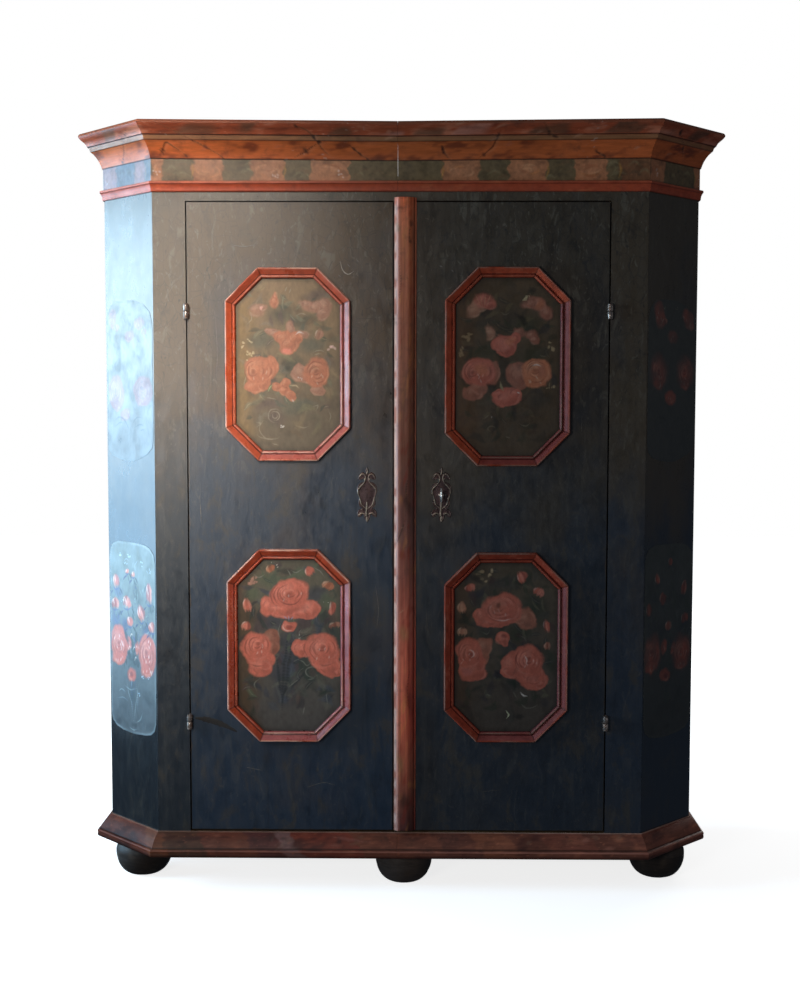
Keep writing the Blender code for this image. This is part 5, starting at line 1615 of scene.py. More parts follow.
def cant_low(side):
    tones = ROSY if side < 0 else SHADED_ROSY
    if side < 0:
        head, foot, blue = (
            np.array([0.115, 0.150, 0.140]), np.array([0.048, 0.058, 0.062]), np.array([0.020, 0.030, 0.130]),
        )
        green, rim = np.array([0.016, 0.036, 0.034]), np.array([0.22, 0.27, 0.29])
        roses = ((44, 588, 38, 46, 5), (172, 576, 37, 52, 6))
        small = (98, 518, 22, 19)
        buds = (
            (33, 752, 17, 21, 0.35), (27, 692, 20, 16, 0.2), (82, 701, 21, 17, -0.4),
            (94, 653, 14, 13, 0.0), (181, 732, 15, 28, 0.0), (146, 681, 18, 24, 0.5),
            (194, 648, 16, 13, 0.2), (85, 781, 9, 7, 0.3), (112, 775, 8, 9, -0.3),
        )
    else:
        # The right cant's ground and leaves are darker than the left's: painted shade on the cant turned away
        # from the light.
        head, foot, blue = (
            np.array([0.055, 0.060, 0.055]), np.array([0.040, 0.042, 0.040]), np.array([0.028, 0.036, 0.050]),
        )
        green, rim = np.array([0.040, 0.052, 0.036]), np.array([0.058, 0.062, 0.056])
        roses = ((38, 584, 34, 42, 7), (167, 574, 38, 42, 8))
        small = (95, 525, 20, 18)
        buds = (
            (23, 696, 14, 18, 0.2), (107, 649, 15, 14, 0.0), (55, 771, 12, 17, 0.3),
            (173, 739, 14, 20, -0.2), (82, 718, 15, 17, 0.4), (110, 810, 10, 12, 0.0),
            (176, 662, 16, 15, 0.3),
        )

    def painter(across, up):
        spots = np.stack([across, up], 1)
        base = blend(foot, head, ease(400, 800, up + 10 * noise(spots, 40, 301)))
        cloud = clouds(spots, 302, (40, 0.6), (13, 0.4))
        base = blend(base, base * 0.72, 0.7 * ease(0.0, 0.8, cloud))
        base = blend(base, base * 1.25, 0.6 * ease(0.1, 0.8, -cloud))
        canvas = Canvas(across, up, base, 305 + side, 4.0)
        canvas.dabs((
            (30, 650, 24, 26, blue), (44, 722, 22, 14, blue), (170, 640, 26, 20, blue),
            (70, 640, 16, 24, blue), (104, 560, 22, 30, green), (186, 700, 14, 24, green),
            (126, 720, 14, 40, green), (100, 470, 18, 24, green),
        ), 0.2, 0.7, 0.55)
        rng = np.random.default_rng(306)
        for count, spread, lengths, widths, turns, leaf_tones, strength in (
            (70, ((12, 202), (530, 770)), (10, 26), (3, 8), (0.4, 2.7), (blue, green, head * 1.7), 0.62),
            (14, ((74, 132), (540, 600)), (12, 24), (4, 7), (0.2, 2.9), (green * 0.8,), 0.75),
            (12, ((30, 190), (690, 830)), (12, 34), (4, 8), (1.1, 2.0), (head * 1.5,), 0.5),
        ):
            strew(canvas, rng, count, spread, lengths, widths, turns, leaf_tones, strength)
        for path in (
            [(104, 540), (102, 500), (100, 460), (106, 404)], [(88, 540), (94, 490), (96, 440)],
            [(120, 540), (112, 490), (106, 450)], [(84, 690), (90, 650), (98, 600), (102, 560)],
            [(146, 660), (128, 610), (112, 560)], [(30, 676), (60, 620), (92, 560)],
            [(112, 765), (118, 700), (112, 620)], [(182, 704), (170, 650), (130, 590)],
        ):
            canvas.stroke(path, 3.6, blue * 0.9, 0.6, (0.4, 0.2))
        canvas.spot(106, 392, 17, 8, foot * 0.45, 0.1, 0.5, 0.7)
        canvas.stroke([(84, 470), (112, 440), (134, 404), (120, 380)], 9, foot * 0.7, 0.35)
        for a, z, w, t, seed in roses:
            rose(canvas, a, z, w, t, tones, (-0.1, 0.12), 2.2, seed, 0.16 if side < 0 else 0.75)
            lobe(canvas, a - 4, z - t * 0.72, w * 0.72, t * 0.38, tones, 0.0, 3)
            if side < 0:
                ticks = np.random.default_rng(seed + 40)
                for _ in range(9):
                    x, y = a + ticks.uniform(-0.7, 0.7) * w, z + ticks.uniform(-0.9, 0.8) * t
                    canvas.stroke(
                        [(x, y + 5), (x + ticks.uniform(-4, 4), y - 5)], 3.0, tones[3], 0.55, (0.3, 0.1),
                        soft=1.0,
                    )
        lobe(canvas, 86, 596, 12, 20, tones, 0.1, 2, 0.7)
        lobe(canvas, 124, 590, 10, 20, tones, -0.1, 2, 0.7)
        lobe(canvas, *small, tones, 0.0, 1)
        canvas.spot(small[0] + 2, small[1], 8, 8, tones[0], 0.0, 0.5, 0.7)
        for a, z, w, t, turn in buds:
            bud(canvas, a, z, w, t, tones, turn)
        for a, z, w, t, turn in buds:
            canvas.stroke(
                [(a + 2, z - t), (a + 5, z - t - 12), (a + 12, z - t - 26)], 4.2, green, 0.7, (0.5, 0.2),
                soft=1.4,
            )
            canvas.stroke(
                [(a - w * 0.9, z - t * 0.9), (a, z - t * 1.15), (a + w * 0.9, z - t * 0.8)], 4.6, blue, 0.7,
                (0.3, 0.2), soft=1.4,
            )
            if side < 0:
                canvas.stroke(
                    [(a - w * 0.5, z + t * 0.7), (a - w * 0.2, z - t * 0.3)], 3.4, tones[3], 0.6, (0.2, 0.3),
                    soft=1.2,
                )
                leaf(canvas, a + w + 5, z - t - 6, 20, 5.5, -0.9, green * 0.7, None, 0.85)
                leaf(canvas, a - w - 3, z - t - 12, 18, 5.0, 0.7, blue * 0.6, None, 0.85)
        if side < 0:
            for a, z in (
                (52, 818), (90, 822), (76, 800), (150, 806), (188, 792), (60, 700), (134, 640), (150, 520),
                (176, 520), (132, 470),
            ):
                dots(canvas, a, z, 7, light_of(176, 205, 222), 4, 0.5)
            scribble(canvas, (
                [(30, 446), (58, 452), (84, 446)], [(120, 500), (126, 462), (122, 430)],
                [(100, 508), (96, 480)], [(66, 800), (80, 812), (96, 806)], [(120, 800), (134, 812)],
                [(170, 790), (182, 780)],
            ), light_of(150, 176, 190), 0.5)
            scribble(canvas, (
                [(76, 500), (84, 470), (98, 440), (104, 400)],
                [(132, 500), (124, 466), (114, 430), (110, 396)], [(64, 486), (92, 478), (128, 486)],
                [(40, 466), (54, 474), (70, 468)], [(84, 380), (104, 376), (128, 382)],
                [(120, 398), (136, 408), (146, 424)],
            ), light_of(140, 158, 160), 0.55, 3.4)
            for a, z, w, t in (
                (78, 612, 8, 20), (100, 600, 7, 24), (122, 614, 8, 18), (110, 560, 9, 16), (92, 566, 7, 14),
                (126, 552, 8, 12),
            ):
                canvas.spot(a, z, w, t, green * 0.55, 0.2, 0.5, 0.8)
            for a, z in ((100, 618), (112, 586), (90, 584), (118, 560)):
                canvas.stroke(
                    [(a - 5, z - 4), (a, z + 4), (a + 6, z + 1)], 2.6, tones[3], 0.5, (0.3, 0.2), soft=1.0,
                )
        if side > 0:
            fade = 0.30 + 0.30 * noise(spots, 16, 309)
            canvas.wash(base, np.clip(fade, 0.0, 0.7))
        gap = edge_gap(across, up, LOW_LEFT_EDGE, LOW_RIGHT_EDGE)
        near = bell(gap, 3, 2.6) * (0.55 + 0.45 * noise(spots, 30, 307))
        canvas.wash(rim, np.clip(near, 0, 1) * 0.75)
        return canvas

    return painter


def cant_high(side):
    tones = BLEACHED if side < 0 else SHADED_ROSY
    if side < 0:
        head, foot, deep = (
            np.array([0.13, 0.135, 0.12]), np.array([0.085, 0.095, 0.10]), np.array([0.030, 0.045, 0.055]),
        )
        roses, small = ((46, 1232, 36, 43, 11), (165, 1236, 41, 37, 12)), (93, 1180, 28, 15)
        flowers = ((30, 1415, 16, 26), (150, 1400, 24, 16))
    else:
        # The right cant's ground is darker than the left's: painted shade on the cant turned away from the
        # light.
        head, foot, deep = (
            np.array([0.050, 0.050, 0.042]), np.array([0.045, 0.046, 0.042]), np.array([0.026, 0.030, 0.028]),
        )
        roses, small = ((50, 1284, 34, 38, 13), (163, 1284, 34, 38, 14)), (99, 1223, 24, 18)
        flowers = ((50, 1425, 23, 36), (168, 1418, 24, 30))

    def painter(across, up):
        spots = np.stack([across, up], 1)
        base = blend(foot, head, ease(1100, 1400, up + 10 * noise(spots, 40, 311)))
        cloud = clouds(spots, 312, (36, 0.6), (12, 0.4))
        base = blend(base, base * 0.8, 0.7 * ease(0.0, 0.8, cloud))
        canvas = Canvas(across, up, base, 315 + side, 4.0)
        for a, z, w, t in (
            (58, 1328, 17, 24), (101, 1310, 9, 22), (58, 1296, 26, 12), (105, 1240, 9, 30),
            (150, 1330, 30, 18),
        ):
            canvas.spot(a, z, w, t, deep, 0.1, 0.6, 0.45)
        rng = np.random.default_rng(316)
        strew(
            canvas, rng, 16, ((20, 195), (1180, 1420)), (16, 34), (4, 9), (0.4, 2.7), (deep * 1.3,), 0.45,
        )
        for a, z, w, t, seed in roses:
            rose(canvas, a, z, w, t, tones, (-0.1, 0.12), 2.2, seed, 0.16 if side < 0 else 0.75)
            lobe(canvas, a, z - t * 0.78, w * 0.66, t * 0.34, tones, 0.0, 3)
        lobe(canvas, *small, tones, 0.0, 2)
        for a, z, w, t in flowers:
            lobe(canvas, a, z, w, t, tones, 0.2, 3, 0.8 if side < 0 else 0.55)
            bud(canvas, a + 22, z - 18, 12, 10, tones, 0.4)
        lobe(canvas, 104, 1372, 24, 18, tones, 0.0, 2, 0.8 if side < 0 else 0.3)
        scribble(canvas, (
            [(34, 1160), (52, 1172), (76, 1168), (96, 1148), (104, 1128)],
            [(38, 1148), (58, 1158), (78, 1156)], [(112, 1150), (136, 1170), (168, 1168)],
            [(124, 1144), (150, 1152), (172, 1148)], [(150, 1138), (170, 1140)],
            [(48, 1120), (56, 1112), (64, 1118), (74, 1106)], [(60, 1106), (66, 1112)],
        ), deep, 0.75, 4.0)
        if side > 0:
            fade = 0.35 + 0.35 * noise(spots, 18, 319)
            canvas.wash(base, np.clip(fade, 0.0, 0.8))
            dots(canvas, 71, 1440, 7, light_of(120, 120, 100), 4, 0.6)
            dots(canvas, 122, 1440, 7, light_of(120, 120, 100), 4, 0.6)
        gap = edge_gap(across, up, HIGH_LEFT_EDGE, HIGH_RIGHT_EDGE)
        near = bell(gap, 3, 2.4) * (0.5 + 0.5 * noise(spots, 30, 317))
        canvas.wash(deep * 1.2, np.clip(near, 0, 1) * 0.6)
        return canvas

    return painter


cant_paint = painted_material("cant_picture_paint", (120, 120, 60), 0.37, 0.10, 0.20, 0.8)
for side, side_name in SIDES.items():
    for level, maker, left, right in (
        ("low", cant_low, LOW_LEFT_EDGE, LOW_RIGHT_EDGE),
        ("high", cant_high, HIGH_LEFT_EDGE, HIGH_RIGHT_EDGE),
    ):
        picture(
            f"cant_picture_{level}_{side_name}", "carcass", shape_rows(left, right), cant_place(side),
            maker(side), cant_paint,
        )


# The cover strip


STRIP_LEFT = -0.0135
STRIP_WIDTH = 0.054
STRIP_PROUD = 0.016
STRIP_FOOT = 0.1445
STRIP_HEAD = 1.7025


def strip_profile():
    """The strip's section as (x, y): a low left shoulder, a round left side and a falling right side."""
    right = STRIP_LEFT + STRIP_WIDTH
    back_y, front_y = FACE_Y - FIT, FACE_Y - STRIP_PROUD
    rise = 0.40 * STRIP_PROUD
    points = [(STRIP_LEFT, back_y), (STRIP_LEFT, front_y + rise)]
    points += bowed(points[-1], (STRIP_LEFT + 0.0100, front_y + 0.0002), 0.0014, 10)
    points.append((STRIP_LEFT + 0.0135, front_y))
    crest = right - 0.40 * STRIP_WIDTH
    points.append((crest, front_y))
    for turn in np.linspace(0, math.pi / 2, 13)[1:]:
        fall = (STRIP_PROUD - 0.0035) * (1 - math.cos(turn))
        points.append((crest + 0.32 * STRIP_WIDTH * math.sin(turn), front_y + fall))
    points += [(right, FACE_Y - 0.0035), (right, back_y)]
    last = len(points) - 1
    return np.array(refined(points, 0.0022, 1, last))


def paint_strip(across, up):
    """Across from the strip's left edge and up from the floor, in millimetres."""
    spots = np.stack([across, up], 1)
    base = np.empty((len(up), 3))
    stops = (
        (145, (78, 44, 42)), (260, (122, 66, 50)), (420, (152, 76, 56)), (560, (148, 78, 60)),
        (740, (140, 76, 62)), (900, (108, 68, 60)), (1000, (96, 60, 52)), (1100, (118, 72, 56)),
        (1300, (136, 82, 62)), (1480, (142, 84, 62)), (1600, (150, 88, 62)), (1655, (170, 96, 66)),
        (1702, (186, 92, 60)),
    )
    for channel in range(3):
        base[:, channel] = np.interp(
            up, [z for z, _ in stops], [light_of(*tone)[channel] for _, tone in stops],
        )
    canvas = Canvas(across, up, base, 401)
    slant = np.stack([across * 1.6 - 0.35 * up, up * 0.45 + across * 0.2], 1)
    cloud = clouds(slant, 402, (26, 0.6), (9, 0.5))
    canvas.wash(light_of(116, 38, 26), 0.55 * ease(0.15, 0.8, cloud))
    canvas.wash(light_of(160, 104, 60), 0.50 * ease(0.15, 0.8, -cloud))
    canvas.wash(light_of(150, 76, 34), 0.35 * ease(30, 46, across) * ease(900, 1500, up))
    canvas.wash(
        light_of(134, 38, 30), 0.55 * ease(20, 44, across) * ease(330, 420, up) * (1 - ease(560, 720, up)),
    )
    streak = noise(np.stack([across / 2.2, up / 90], 1), 1.0, 404)
    canvas.wash(canvas.rgb * 0.66, 0.6 * ease(0.1, 0.9, streak))
    canvas.wash(canvas.rgb * 1.3, 0.5 * ease(0.2, 0.9, -streak))
    level = np.interp(
        up, [150, 420, 620, 760, 900, 1100, 1400, 1560, 1700],
        [1.45, 2.3, 2.1, 1.25, 1.0, 1.0, 1.3, 1.75, 1.75],
    )
    canvas.rgb = canvas.rgb * level[:, None]
    # Pale pink over the strip's rounded left side: painted highlight of the window's light.
    canvas.wash(light_of(226, 158, 142), 0.72 * (1 - ease(4, 19, across)))
    canvas.rgb = canvas.rgb * (1 - 0.35 * ease(30, 40, across) * (1 - ease(49, 52, across)))[:, None]
    canvas.wash(light_of(128, 50, 40), 0.5 * bell(across, 51, 1.6))
    canvas.dabs((
        (42, 1640, 7, 9, DARK), (38, 1596, 5, 6, DARK), (12, 1676, 12, 5, DEEP_RED), (8, 1630, 7, 14, TAN),
        (26, 1688, 14, 7, ORANGE), (33, 960, 9, 30, DARK), (38, 470, 10, 60, DEEP_RED),
        (14, 880, 9, 20, light_of(120, 84, 78)), (20, 836, 10, 16, DEEP_RED), (24, 640, 12, 22, TAN),
        (14, 320, 8, 30, TAN), (26, 220, 14, 20, DARK * 1.5),
    ), 0.2, 0.8, 0.6)
    for path in (
        [(4, 860), (14, 880), (22, 906), (30, 940)], [(44, 1650), (36, 1610), (40, 1570)],
        [(10, 1560), (16, 1500), (12, 1450)], [(38, 1040), (30, 990), (36, 930)],
        [(40, 560), (34, 500), (42, 430)],
    ):
        canvas.stroke(path, 3.4, DARK, 0.6, (0.3, 0.2))
    scribble(canvas, (
        [(10, 1640), (13, 1610)], [(7, 1560), (8, 1500)], [(14, 900), (24, 902)], [(6, 1190), (8, 1140)],
        [(12, 690), (26, 700)],
    ), light_of(206, 160, 128), 0.6, 2.4)
    nick = bell(up, 974, 2.2) * (1 - ease(4, 9, across))
    canvas.wash(light_of(205, 180, 160), 0.9 * nick)
    # A paler line along the left edge: painted highlight of the window's light, broken up like rubbed paint.
    wear_and_highlight = bell(across, 3.0, 2.6) * ease(-0.7, 0.3, noise(np.stack([up, across], 1), 22, 405))
    canvas.wash(light_of(255, 222, 208), 0.90 * wear_and_highlight)
    # Darker right at both edges, where the strip meets the doors: painted shade.
    edge = 1 - ease(0.2, 1.2, across) + ease(51.5, 53.5, across)
    canvas.wash(DARK * 0.7, 0.45 * np.clip(edge, 0, 1))
    return canvas.rgb


def build_strip():
    profile = strip_profile()
    heights = np.linspace(STRIP_FOOT, STRIP_HEAD, 480)
    points = np.concatenate([np.column_stack([profile, np.full(len(profile), z)]) for z in heights])
    ends = np.minimum(points[:, 2] - STRIP_FOOT, STRIP_HEAD - points[:, 2])
    points[:, 1] += (points[:, 1] < FACE_Y - 0.004) * 0.0016 * (1 - ease(0, 0.004, ends))
    dent = bell(points[:, 2], 0.974, 0.003) * (points[:, 0] < STRIP_LEFT + 0.006)
    points[:, 0] += 0.0016 * dent * (points[:, 1] < FACE_Y - 0.003)
    rgb = paint_strip((points[:, 0] - STRIP_LEFT) * 1000, points[:, 2] * 1000)
    faces = skin(len(heights), len(profile))
    add(
        "cover_strip_painted", points, faces, "right_door", strip_paint, ["cover_strip"],
        rgb,
    )


strip_paint = painted_material("strip_paint", (160, 160, 9), 0.35, 0.20, 0.35, 0.42)
build_strip()


# Ironwork


def joined(parts):
    """Points and faces of several closed shells as one."""
    points, faces, count = [], [], 0
    for shell, shell_faces in parts:
        points.append(np.asarray(shell, float))
        faces += [[index + count for index in face] for face in shell_faces]
        count += len(shell)
    return np.concatenate(points), faces


def lathe(profile, centre, steps=40, hollow=False, way="z"):
    """A closed shell turned from (radius, height) points. way is the axis that the heights follow."""
    profile = np.array(profile, float)
    rings = []
    for turn in np.arange(steps) * 2 * math.pi / steps:
        flat = profile[:, :1] * np.array([[math.cos(turn), math.sin(turn)]])
        ring = [flat[:, 0], flat[:, 1], profile[:, 1]]
        if way == "y":
            ring = [flat[:, 0], profile[:, 1], flat[:, 1]]
        rings.append(np.column_stack(ring) + np.array(centre))
    faces = skin(steps, len(profile), loop_rows=True, loop_columns=hollow, caps=False)
    if not hollow:
        count = len(profile)
        faces.append([row * count for row in range(steps)])
        faces.append([row * count + count - 1 for row in range(steps)][::-1])
    return np.concatenate(rings), faces


def block(low, high, edge):
    """A box whose upright edges are cut off by this much."""
    (x0, y0, z0), (x1, y1, z1) = low, high
    flat = [
        (x0 + edge, y0), (x1 - edge, y0), (x1, y0 + edge), (x1, y1 - edge), (x1 - edge, y1),
        (x0 + edge, y1), (x0, y1 - edge), (x0, y0 + edge),
    ]
    points = [(x, y, z0) for x, y in flat] + [(x, y, z1) for x, y in flat]
    return np.array(points), skin(2, 8)


AXIS_Y = -0.2381
HINGE_X = {-1: -0.5205, 1: 0.5105}
HINGE_HALF = 0.0195
LEAF_HALF = 0.0012
LEAF_DEPTH = 0.022
LEAF_EDGE = 0.0003
HINGE_HEIGHTS = {"upper": 1.429, "lower": 0.416}
BARREL = 0.007
HINGE_PIN = 0.0026
hinge_iron = iron_material("hinge_iron", (0.36, 0.31, 0.28), (0.20, 0.12, 0.085), 0.30)


def build_hinge(side, level, height):
    side_name, hinge_x = SIDES[side], HINGE_X[side]
    centre = (hinge_x, AXIS_Y, 0.0)
    low, high = height - HINGE_HALF, height + HINGE_HALF
    top = height - FIT
    lower = [
        (0.0030, low), (0.0052, low + 0.0006), (0.0065, low + 0.0022), (0.0065, low + 0.0032),
        (0.0058, low + 0.0040), (0.0068, low + 0.0050), (BARREL, low + 0.0068), (BARREL, top - 0.0022),
        (0.0066, top - 0.0010), (0.0060, top), (HINGE_PIN, top), (HINGE_PIN, high - 0.0014),
        (0.0016, high - FIT),
    ]
    leaf_low = (hinge_x - LEAF_HALF, AXIS_Y + BARREL / 2, low + 0.0006)
    shells = [
        lathe(lower, centre), block(leaf_low, (hinge_x + LEAF_HALF, FACE_Y + LEAF_DEPTH, top), LEAF_EDGE),
    ]
    points, faces = joined(shells)
    node = f"hinge_frame_half_{level}_{side_name}"
    add(f"{node}_turned", points, faces, "carcass", hinge_iron, [node])
    foot = height + FIT
    bore = HINGE_PIN + 0.0004
    upper = [
        (bore, foot), (0.0060, foot), (0.0066, foot + 0.0010), (BARREL, foot + 0.0022),
        (BARREL, high - 0.0068), (0.0068, high - 0.0050), (0.0058, high - 0.0040), (0.0065, high - 0.0032),
        (0.0065, high - 0.0022), (0.0052, high - 0.0006), (bore + 0.0004, high),
    ]
    leaf_low = (hinge_x - LEAF_HALF, AXIS_Y + BARREL / 2, foot)
    leaf_high = (hinge_x + LEAF_HALF, FACE_Y + LEAF_DEPTH, high - 0.0006)
    shells = [lathe(upper, centre, hollow=True), block(leaf_low, leaf_high, LEAF_EDGE)]
    points, faces = joined(shells)
    node = f"hinge_door_half_{level}_{side_name}"
    add(f"{node}_turned", points, faces, f"{side_name}_door", hinge_iron, [node])


for side in SIDES:
    for level, height in HINGE_HEIGHTS.items():
        build_hinge(side, level, height)


def ridge(spots, path, wide):
    """How high a rounded ridge along a path stands at each point, from 0 to 1."""
    return bell(nearest(spots, smooth_path(path))[0], 0, wide)


def inside_of(across, up, outline):
    """Whether each point lies inside a closed outline."""
    within = np.zeros(len(across), bool)
    for (a, z), (b, w) in zip(outline, np.roll(outline, -1, axis=0)):
        crosses = (z > up) != (w > up)
        with np.errstate(divide="ignore", invalid="ignore"):
            where = a + (up - z) * (b - a) / (w - z)
        within ^= crosses & (across < where)
    return within


# The wrought plates, in millimetres from their middle
PLATE_HALF = (25, 69)
PLATE_SHARES = (
    (0.00, 1.00), (0.16, 0.86), (0.10, 0.74), (0.42, 0.80), (0.78, 0.70), (0.86, 0.56), (0.60, 0.52),
    (0.36, 0.56), (0.30, 0.46), (0.62, 0.42), (0.92, 0.30), (1.00, 0.12), (0.88, -0.02), (0.78, -0.14),
    (0.86, -0.28), (0.74, -0.42), (0.52, -0.50), (0.78, -0.54), (0.98, -0.66), (0.90, -0.80), (0.62, -0.78),
    (0.40, -0.70), (0.30, -0.80), (0.18, -0.92), (0.00, -1.00),
)
PLATE_RIDGES = (
    ([(0, 66), (1, 56), (-2, 50)], 1.6, 0.9), ([(-18, 44), (-13, 50), (-6, 48), (-3, 40)], 1.5, 1.0),
    ([(18, 44), (13, 50), (6, 48), (3, 40)], 1.5, 0.9), ([(-19, 27), (-12, 36), (-6, 38)], 1.7, 1.2),
    ([(19, 27), (13, 36), (6, 38)], 1.7, 1.1), ([(-4, 38), (-8, 28), (-16, 20), (-22, 12)], 1.5, 1.2),
    ([(4, 38), (8, 28), (16, 20), (22, 12)], 1.5, 1.0),
    ([(-22, 12), (-22, 0), (-18, -9), (-14, -24)], 1.6, 1.3),
    ([(22, 12), (22, 0), (18, -9), (14, -24)], 1.6, 1.1), ([(0, -20), (-1, -34), (-2, -52)], 2.0, 1.3),
    ([(-14, -24), (-8, -30), (-3, -34)], 1.4, 0.8), ([(14, -24), (8, -30), (3, -34)], 1.4, 0.8),
    ([(-20, -50), (-13, -46), (-6, -48)], 1.8, 1.0), ([(20, -50), (13, -46), (6, -48)], 1.8, 1.0),
    ([(0, -56), (0, -66)], 2.2, 1.0),
)


def keyhole_outline():
    points = [(2.6, -14.5)]
    for turn in np.linspace(-1.0, math.pi + 1.0, 24):
        points.append((4.7 * math.cos(turn), 4.7 * math.sin(turn)))
    return np.array(points + [(-2.6, -14.5)])


def build_plate(side, centre_x, body):
    """A wrought plate in relief: embossed leaves round a shield, with raised rims, on the door's face."""
    wide, tall = PLATE_HALF
    half = [(wide * x, tall * z) for x, z in PLATE_SHARES]
    outline = smooth_path(half)
    outline = np.concatenate([outline, outline[-2:0:-1] * (-1, 1)])
    outline = outline + 0.35 * np.stack([noise(outline, 7, 501), noise(outline, 7, 502)], 1)
    outline[:, 0] = np.clip(outline[:, 0], -wide, wide)
    outline[:, 1] = np.clip(outline[:, 1], -tall, tall)
    wide, tall = wide + 1, tall + 1
    columns, rows = round(2 * wide / PLATE_STEP) + 1, round(2 * tall / PLATE_STEP) + 1
    across, up = np.meshgrid(np.linspace(-wide, wide, columns), np.linspace(-tall, tall, rows))
    across, up = across.ravel(), up.ravel()
    grid = np.arange(columns * rows).reshape(rows, columns)
    cells = tiles(grid)
    middle_a, middle_z = across[cells].mean(1), up[cells].mean(1)
    keep = inside_of(middle_a, middle_z, outline)
    edges = [outline]
    if side > 0:
        hole = keyhole_outline()
        keep &= ~inside_of(middle_a, middle_z, hole)
        edges.append(hole)
    cells = cells[keep]
    steps = np.arange(0, 1, 0.2)
    lines = []
    for line in edges:
        lines += [line + (np.roll(line, -1, axis=0) - line) * share for share in steps]
    lines = np.concatenate(lines)
    used = np.unique(cells)
    place_of = np.full(columns * rows, -1)
    place_of[used] = np.arange(len(used))
    cells = place_of[cells]
    spots = np.stack([across[used], up[used]], 1)
    near, index = nearest(spots, lines)
    owners = {}
    for cell in cells:
        for a, b in zip(cell, np.roll(cell, -1)):
            key = (min(a, b), max(a, b))
            owners[key] = None if key in owners else (a, b)
    border = [pair for pair in owners.values() if pair is not None]
    rim = np.unique(np.array(border))
    spots[rim] = lines[index[rim]]
    near[rim] = 0
    height = 0.55 + 0.75 * ease(0, 1.3, near)
    raised = 0.45 * bell(near, 1.5, 0.8)
    for path, ridge_wide, ridge_tall in PLATE_RIDGES:
        raised = np.maximum(raised, ridge_tall * ridge(spots, path, ridge_wide) * ease(0, 1.2, near))
    shield = np.hypot(spots[:, 0] / 17, (spots[:, 1] + 2) / 20)
    dome = 0.5 * (1 - ease(0.3, 1.0, shield)) * ease(0, 2, near)
    height += raised + dome + 0.10 * noise(spots, 2.6, 503) * ease(0, 1, near)
    front = np.column_stack(
        [centre_x + spots[:, 0] / 1000, FACE_Y - FIT - height / 1000, LOCK_Z + spots[:, 1] / 1000]
    )
    back = front.copy()
    back[:, 1] = FACE_Y - FIT
    total = len(front)
    faces = cells.tolist() + (cells[:, ::-1] + total).tolist()
    faces += [[b, a, a + total, b + total] for a, b in border]
    points = np.concatenate([front, back])
    faces = [[int(index) for index in face] for face in faces]
    name = f"escutcheon_{SIDES[side]}"
    # Raised parts lighter, low parts darker and rusty: rust in the hollows, and rubbed iron with painted
    # highlight on the ridges.
    bright = ease(0.15, 0.95, raised) * (0.75 + 0.25 * noise(spots, 6, 504))
    rgb = blend(np.array([0.085, 0.050, 0.052]), np.array([0.40, 0.35, 0.27]), np.clip(bright, 0, 1))
    rgb = rgb * (1 - 0.55 * ease(0.1, 0.8, noise(spots, 4, 505)) * (1 - bright))[:, None]
    add(
        f"{name}_embossed", points, faces, body, plate_iron, [name],
        np.concatenate([rgb, rgb]), 50,
    )


def rubbed_highlit_iron(name):
    shader = Shader(name, metallic=0.55, specular=0.5)
    pits = shader.noise((420, 420, 420), 3.0, 0.65)
    rust = shader.noise((70, 70, 70), 3.0, 0.6)
    colour = shader.over(shader.paint(), (0.090, 0.036, 0.026), rust, 0.50, 0.68, 0.45)
    shader.colour(shader.over(colour, (0.014, 0.011, 0.010), pits, 0.56, 0.70, 0.7))
    shader.rough(shader.span(rust, 0.3, 0.7, 0.30, 0.50))
    shader.bump(rust, 0.0008, 0.5)
    shader.bump(pits, 0.00025, 0.6)
    return shader.material


plate_iron = rubbed_highlit_iron("plate_iron")
build_plate(-1, LEFT_PLATE_X, "left_door")
build_plate(1, LOCK_X, "right_door")


BOW_WIRE = 0.00225
BOW_HALF_DEEP = 0.013
BOW_HALF_TALL = 0.018
SHANK_SHOWN = 0.018


def build_key():
    """The key, its oval bow upright and edge-on to the front, with a collar where the shank starts."""
    wire, bow_back = BOW_WIRE, FACE_Y - SHANK_SHOWN
    middle = bow_back - BOW_HALF_DEEP + wire
    shells, rings = [], []
    steps, round_steps = 48, 14
    for turn in np.arange(steps) * 2 * math.pi / steps:
        outward = np.array([0.0, math.cos(turn), math.sin(turn)])
        pinch = 1 - 0.12 * math.exp(-((math.cos(turn) - 1) / 0.25) ** 2)
        centre = np.array(
            [
                LOCK_X, middle + (BOW_HALF_DEEP - wire) * math.cos(turn),
                LOCK_Z + (BOW_HALF_TALL - wire) * math.sin(turn) * pinch,
            ]
        )
        for angle in np.arange(round_steps) * 2 * math.pi / round_steps:
            rings.append(centre + wire * (outward * math.cos(angle) + np.array([math.sin(angle), 0, 0])))
    shells.append((np.array(rings), skin(steps, round_steps, loop_rows=True)))
    low, high = key_low[1], key_high[1]
    start = bow_back - wire
    shank = [
        (0.0030, start), (0.0050, start + 0.0008), (0.0056, start + 0.0026), (0.0044, start + 0.0042),
        (0.0041, start + 0.0050), (0.0041, start + 0.0078), (0.0054, start + 0.0088),
        (0.0054, start + 0.0104), (0.0041, start + 0.0114), (0.0041, high - 0.0006), (0.0036, high),
    ]
    shells.append(lathe(shank, (LOCK_X, 0.0, LOCK_Z), 32, way="y"))
    bit_end = high - 0.001
    shells.append(
        block((LOCK_X - 0.0016, bit_end - 0.007, key_low[2]), (LOCK_X + 0.0016, bit_end, LOCK_Z), 0.0003)
    )
    points, faces = joined(shells)
    add("key_forged", points, faces, "key", key_iron, ["key"])


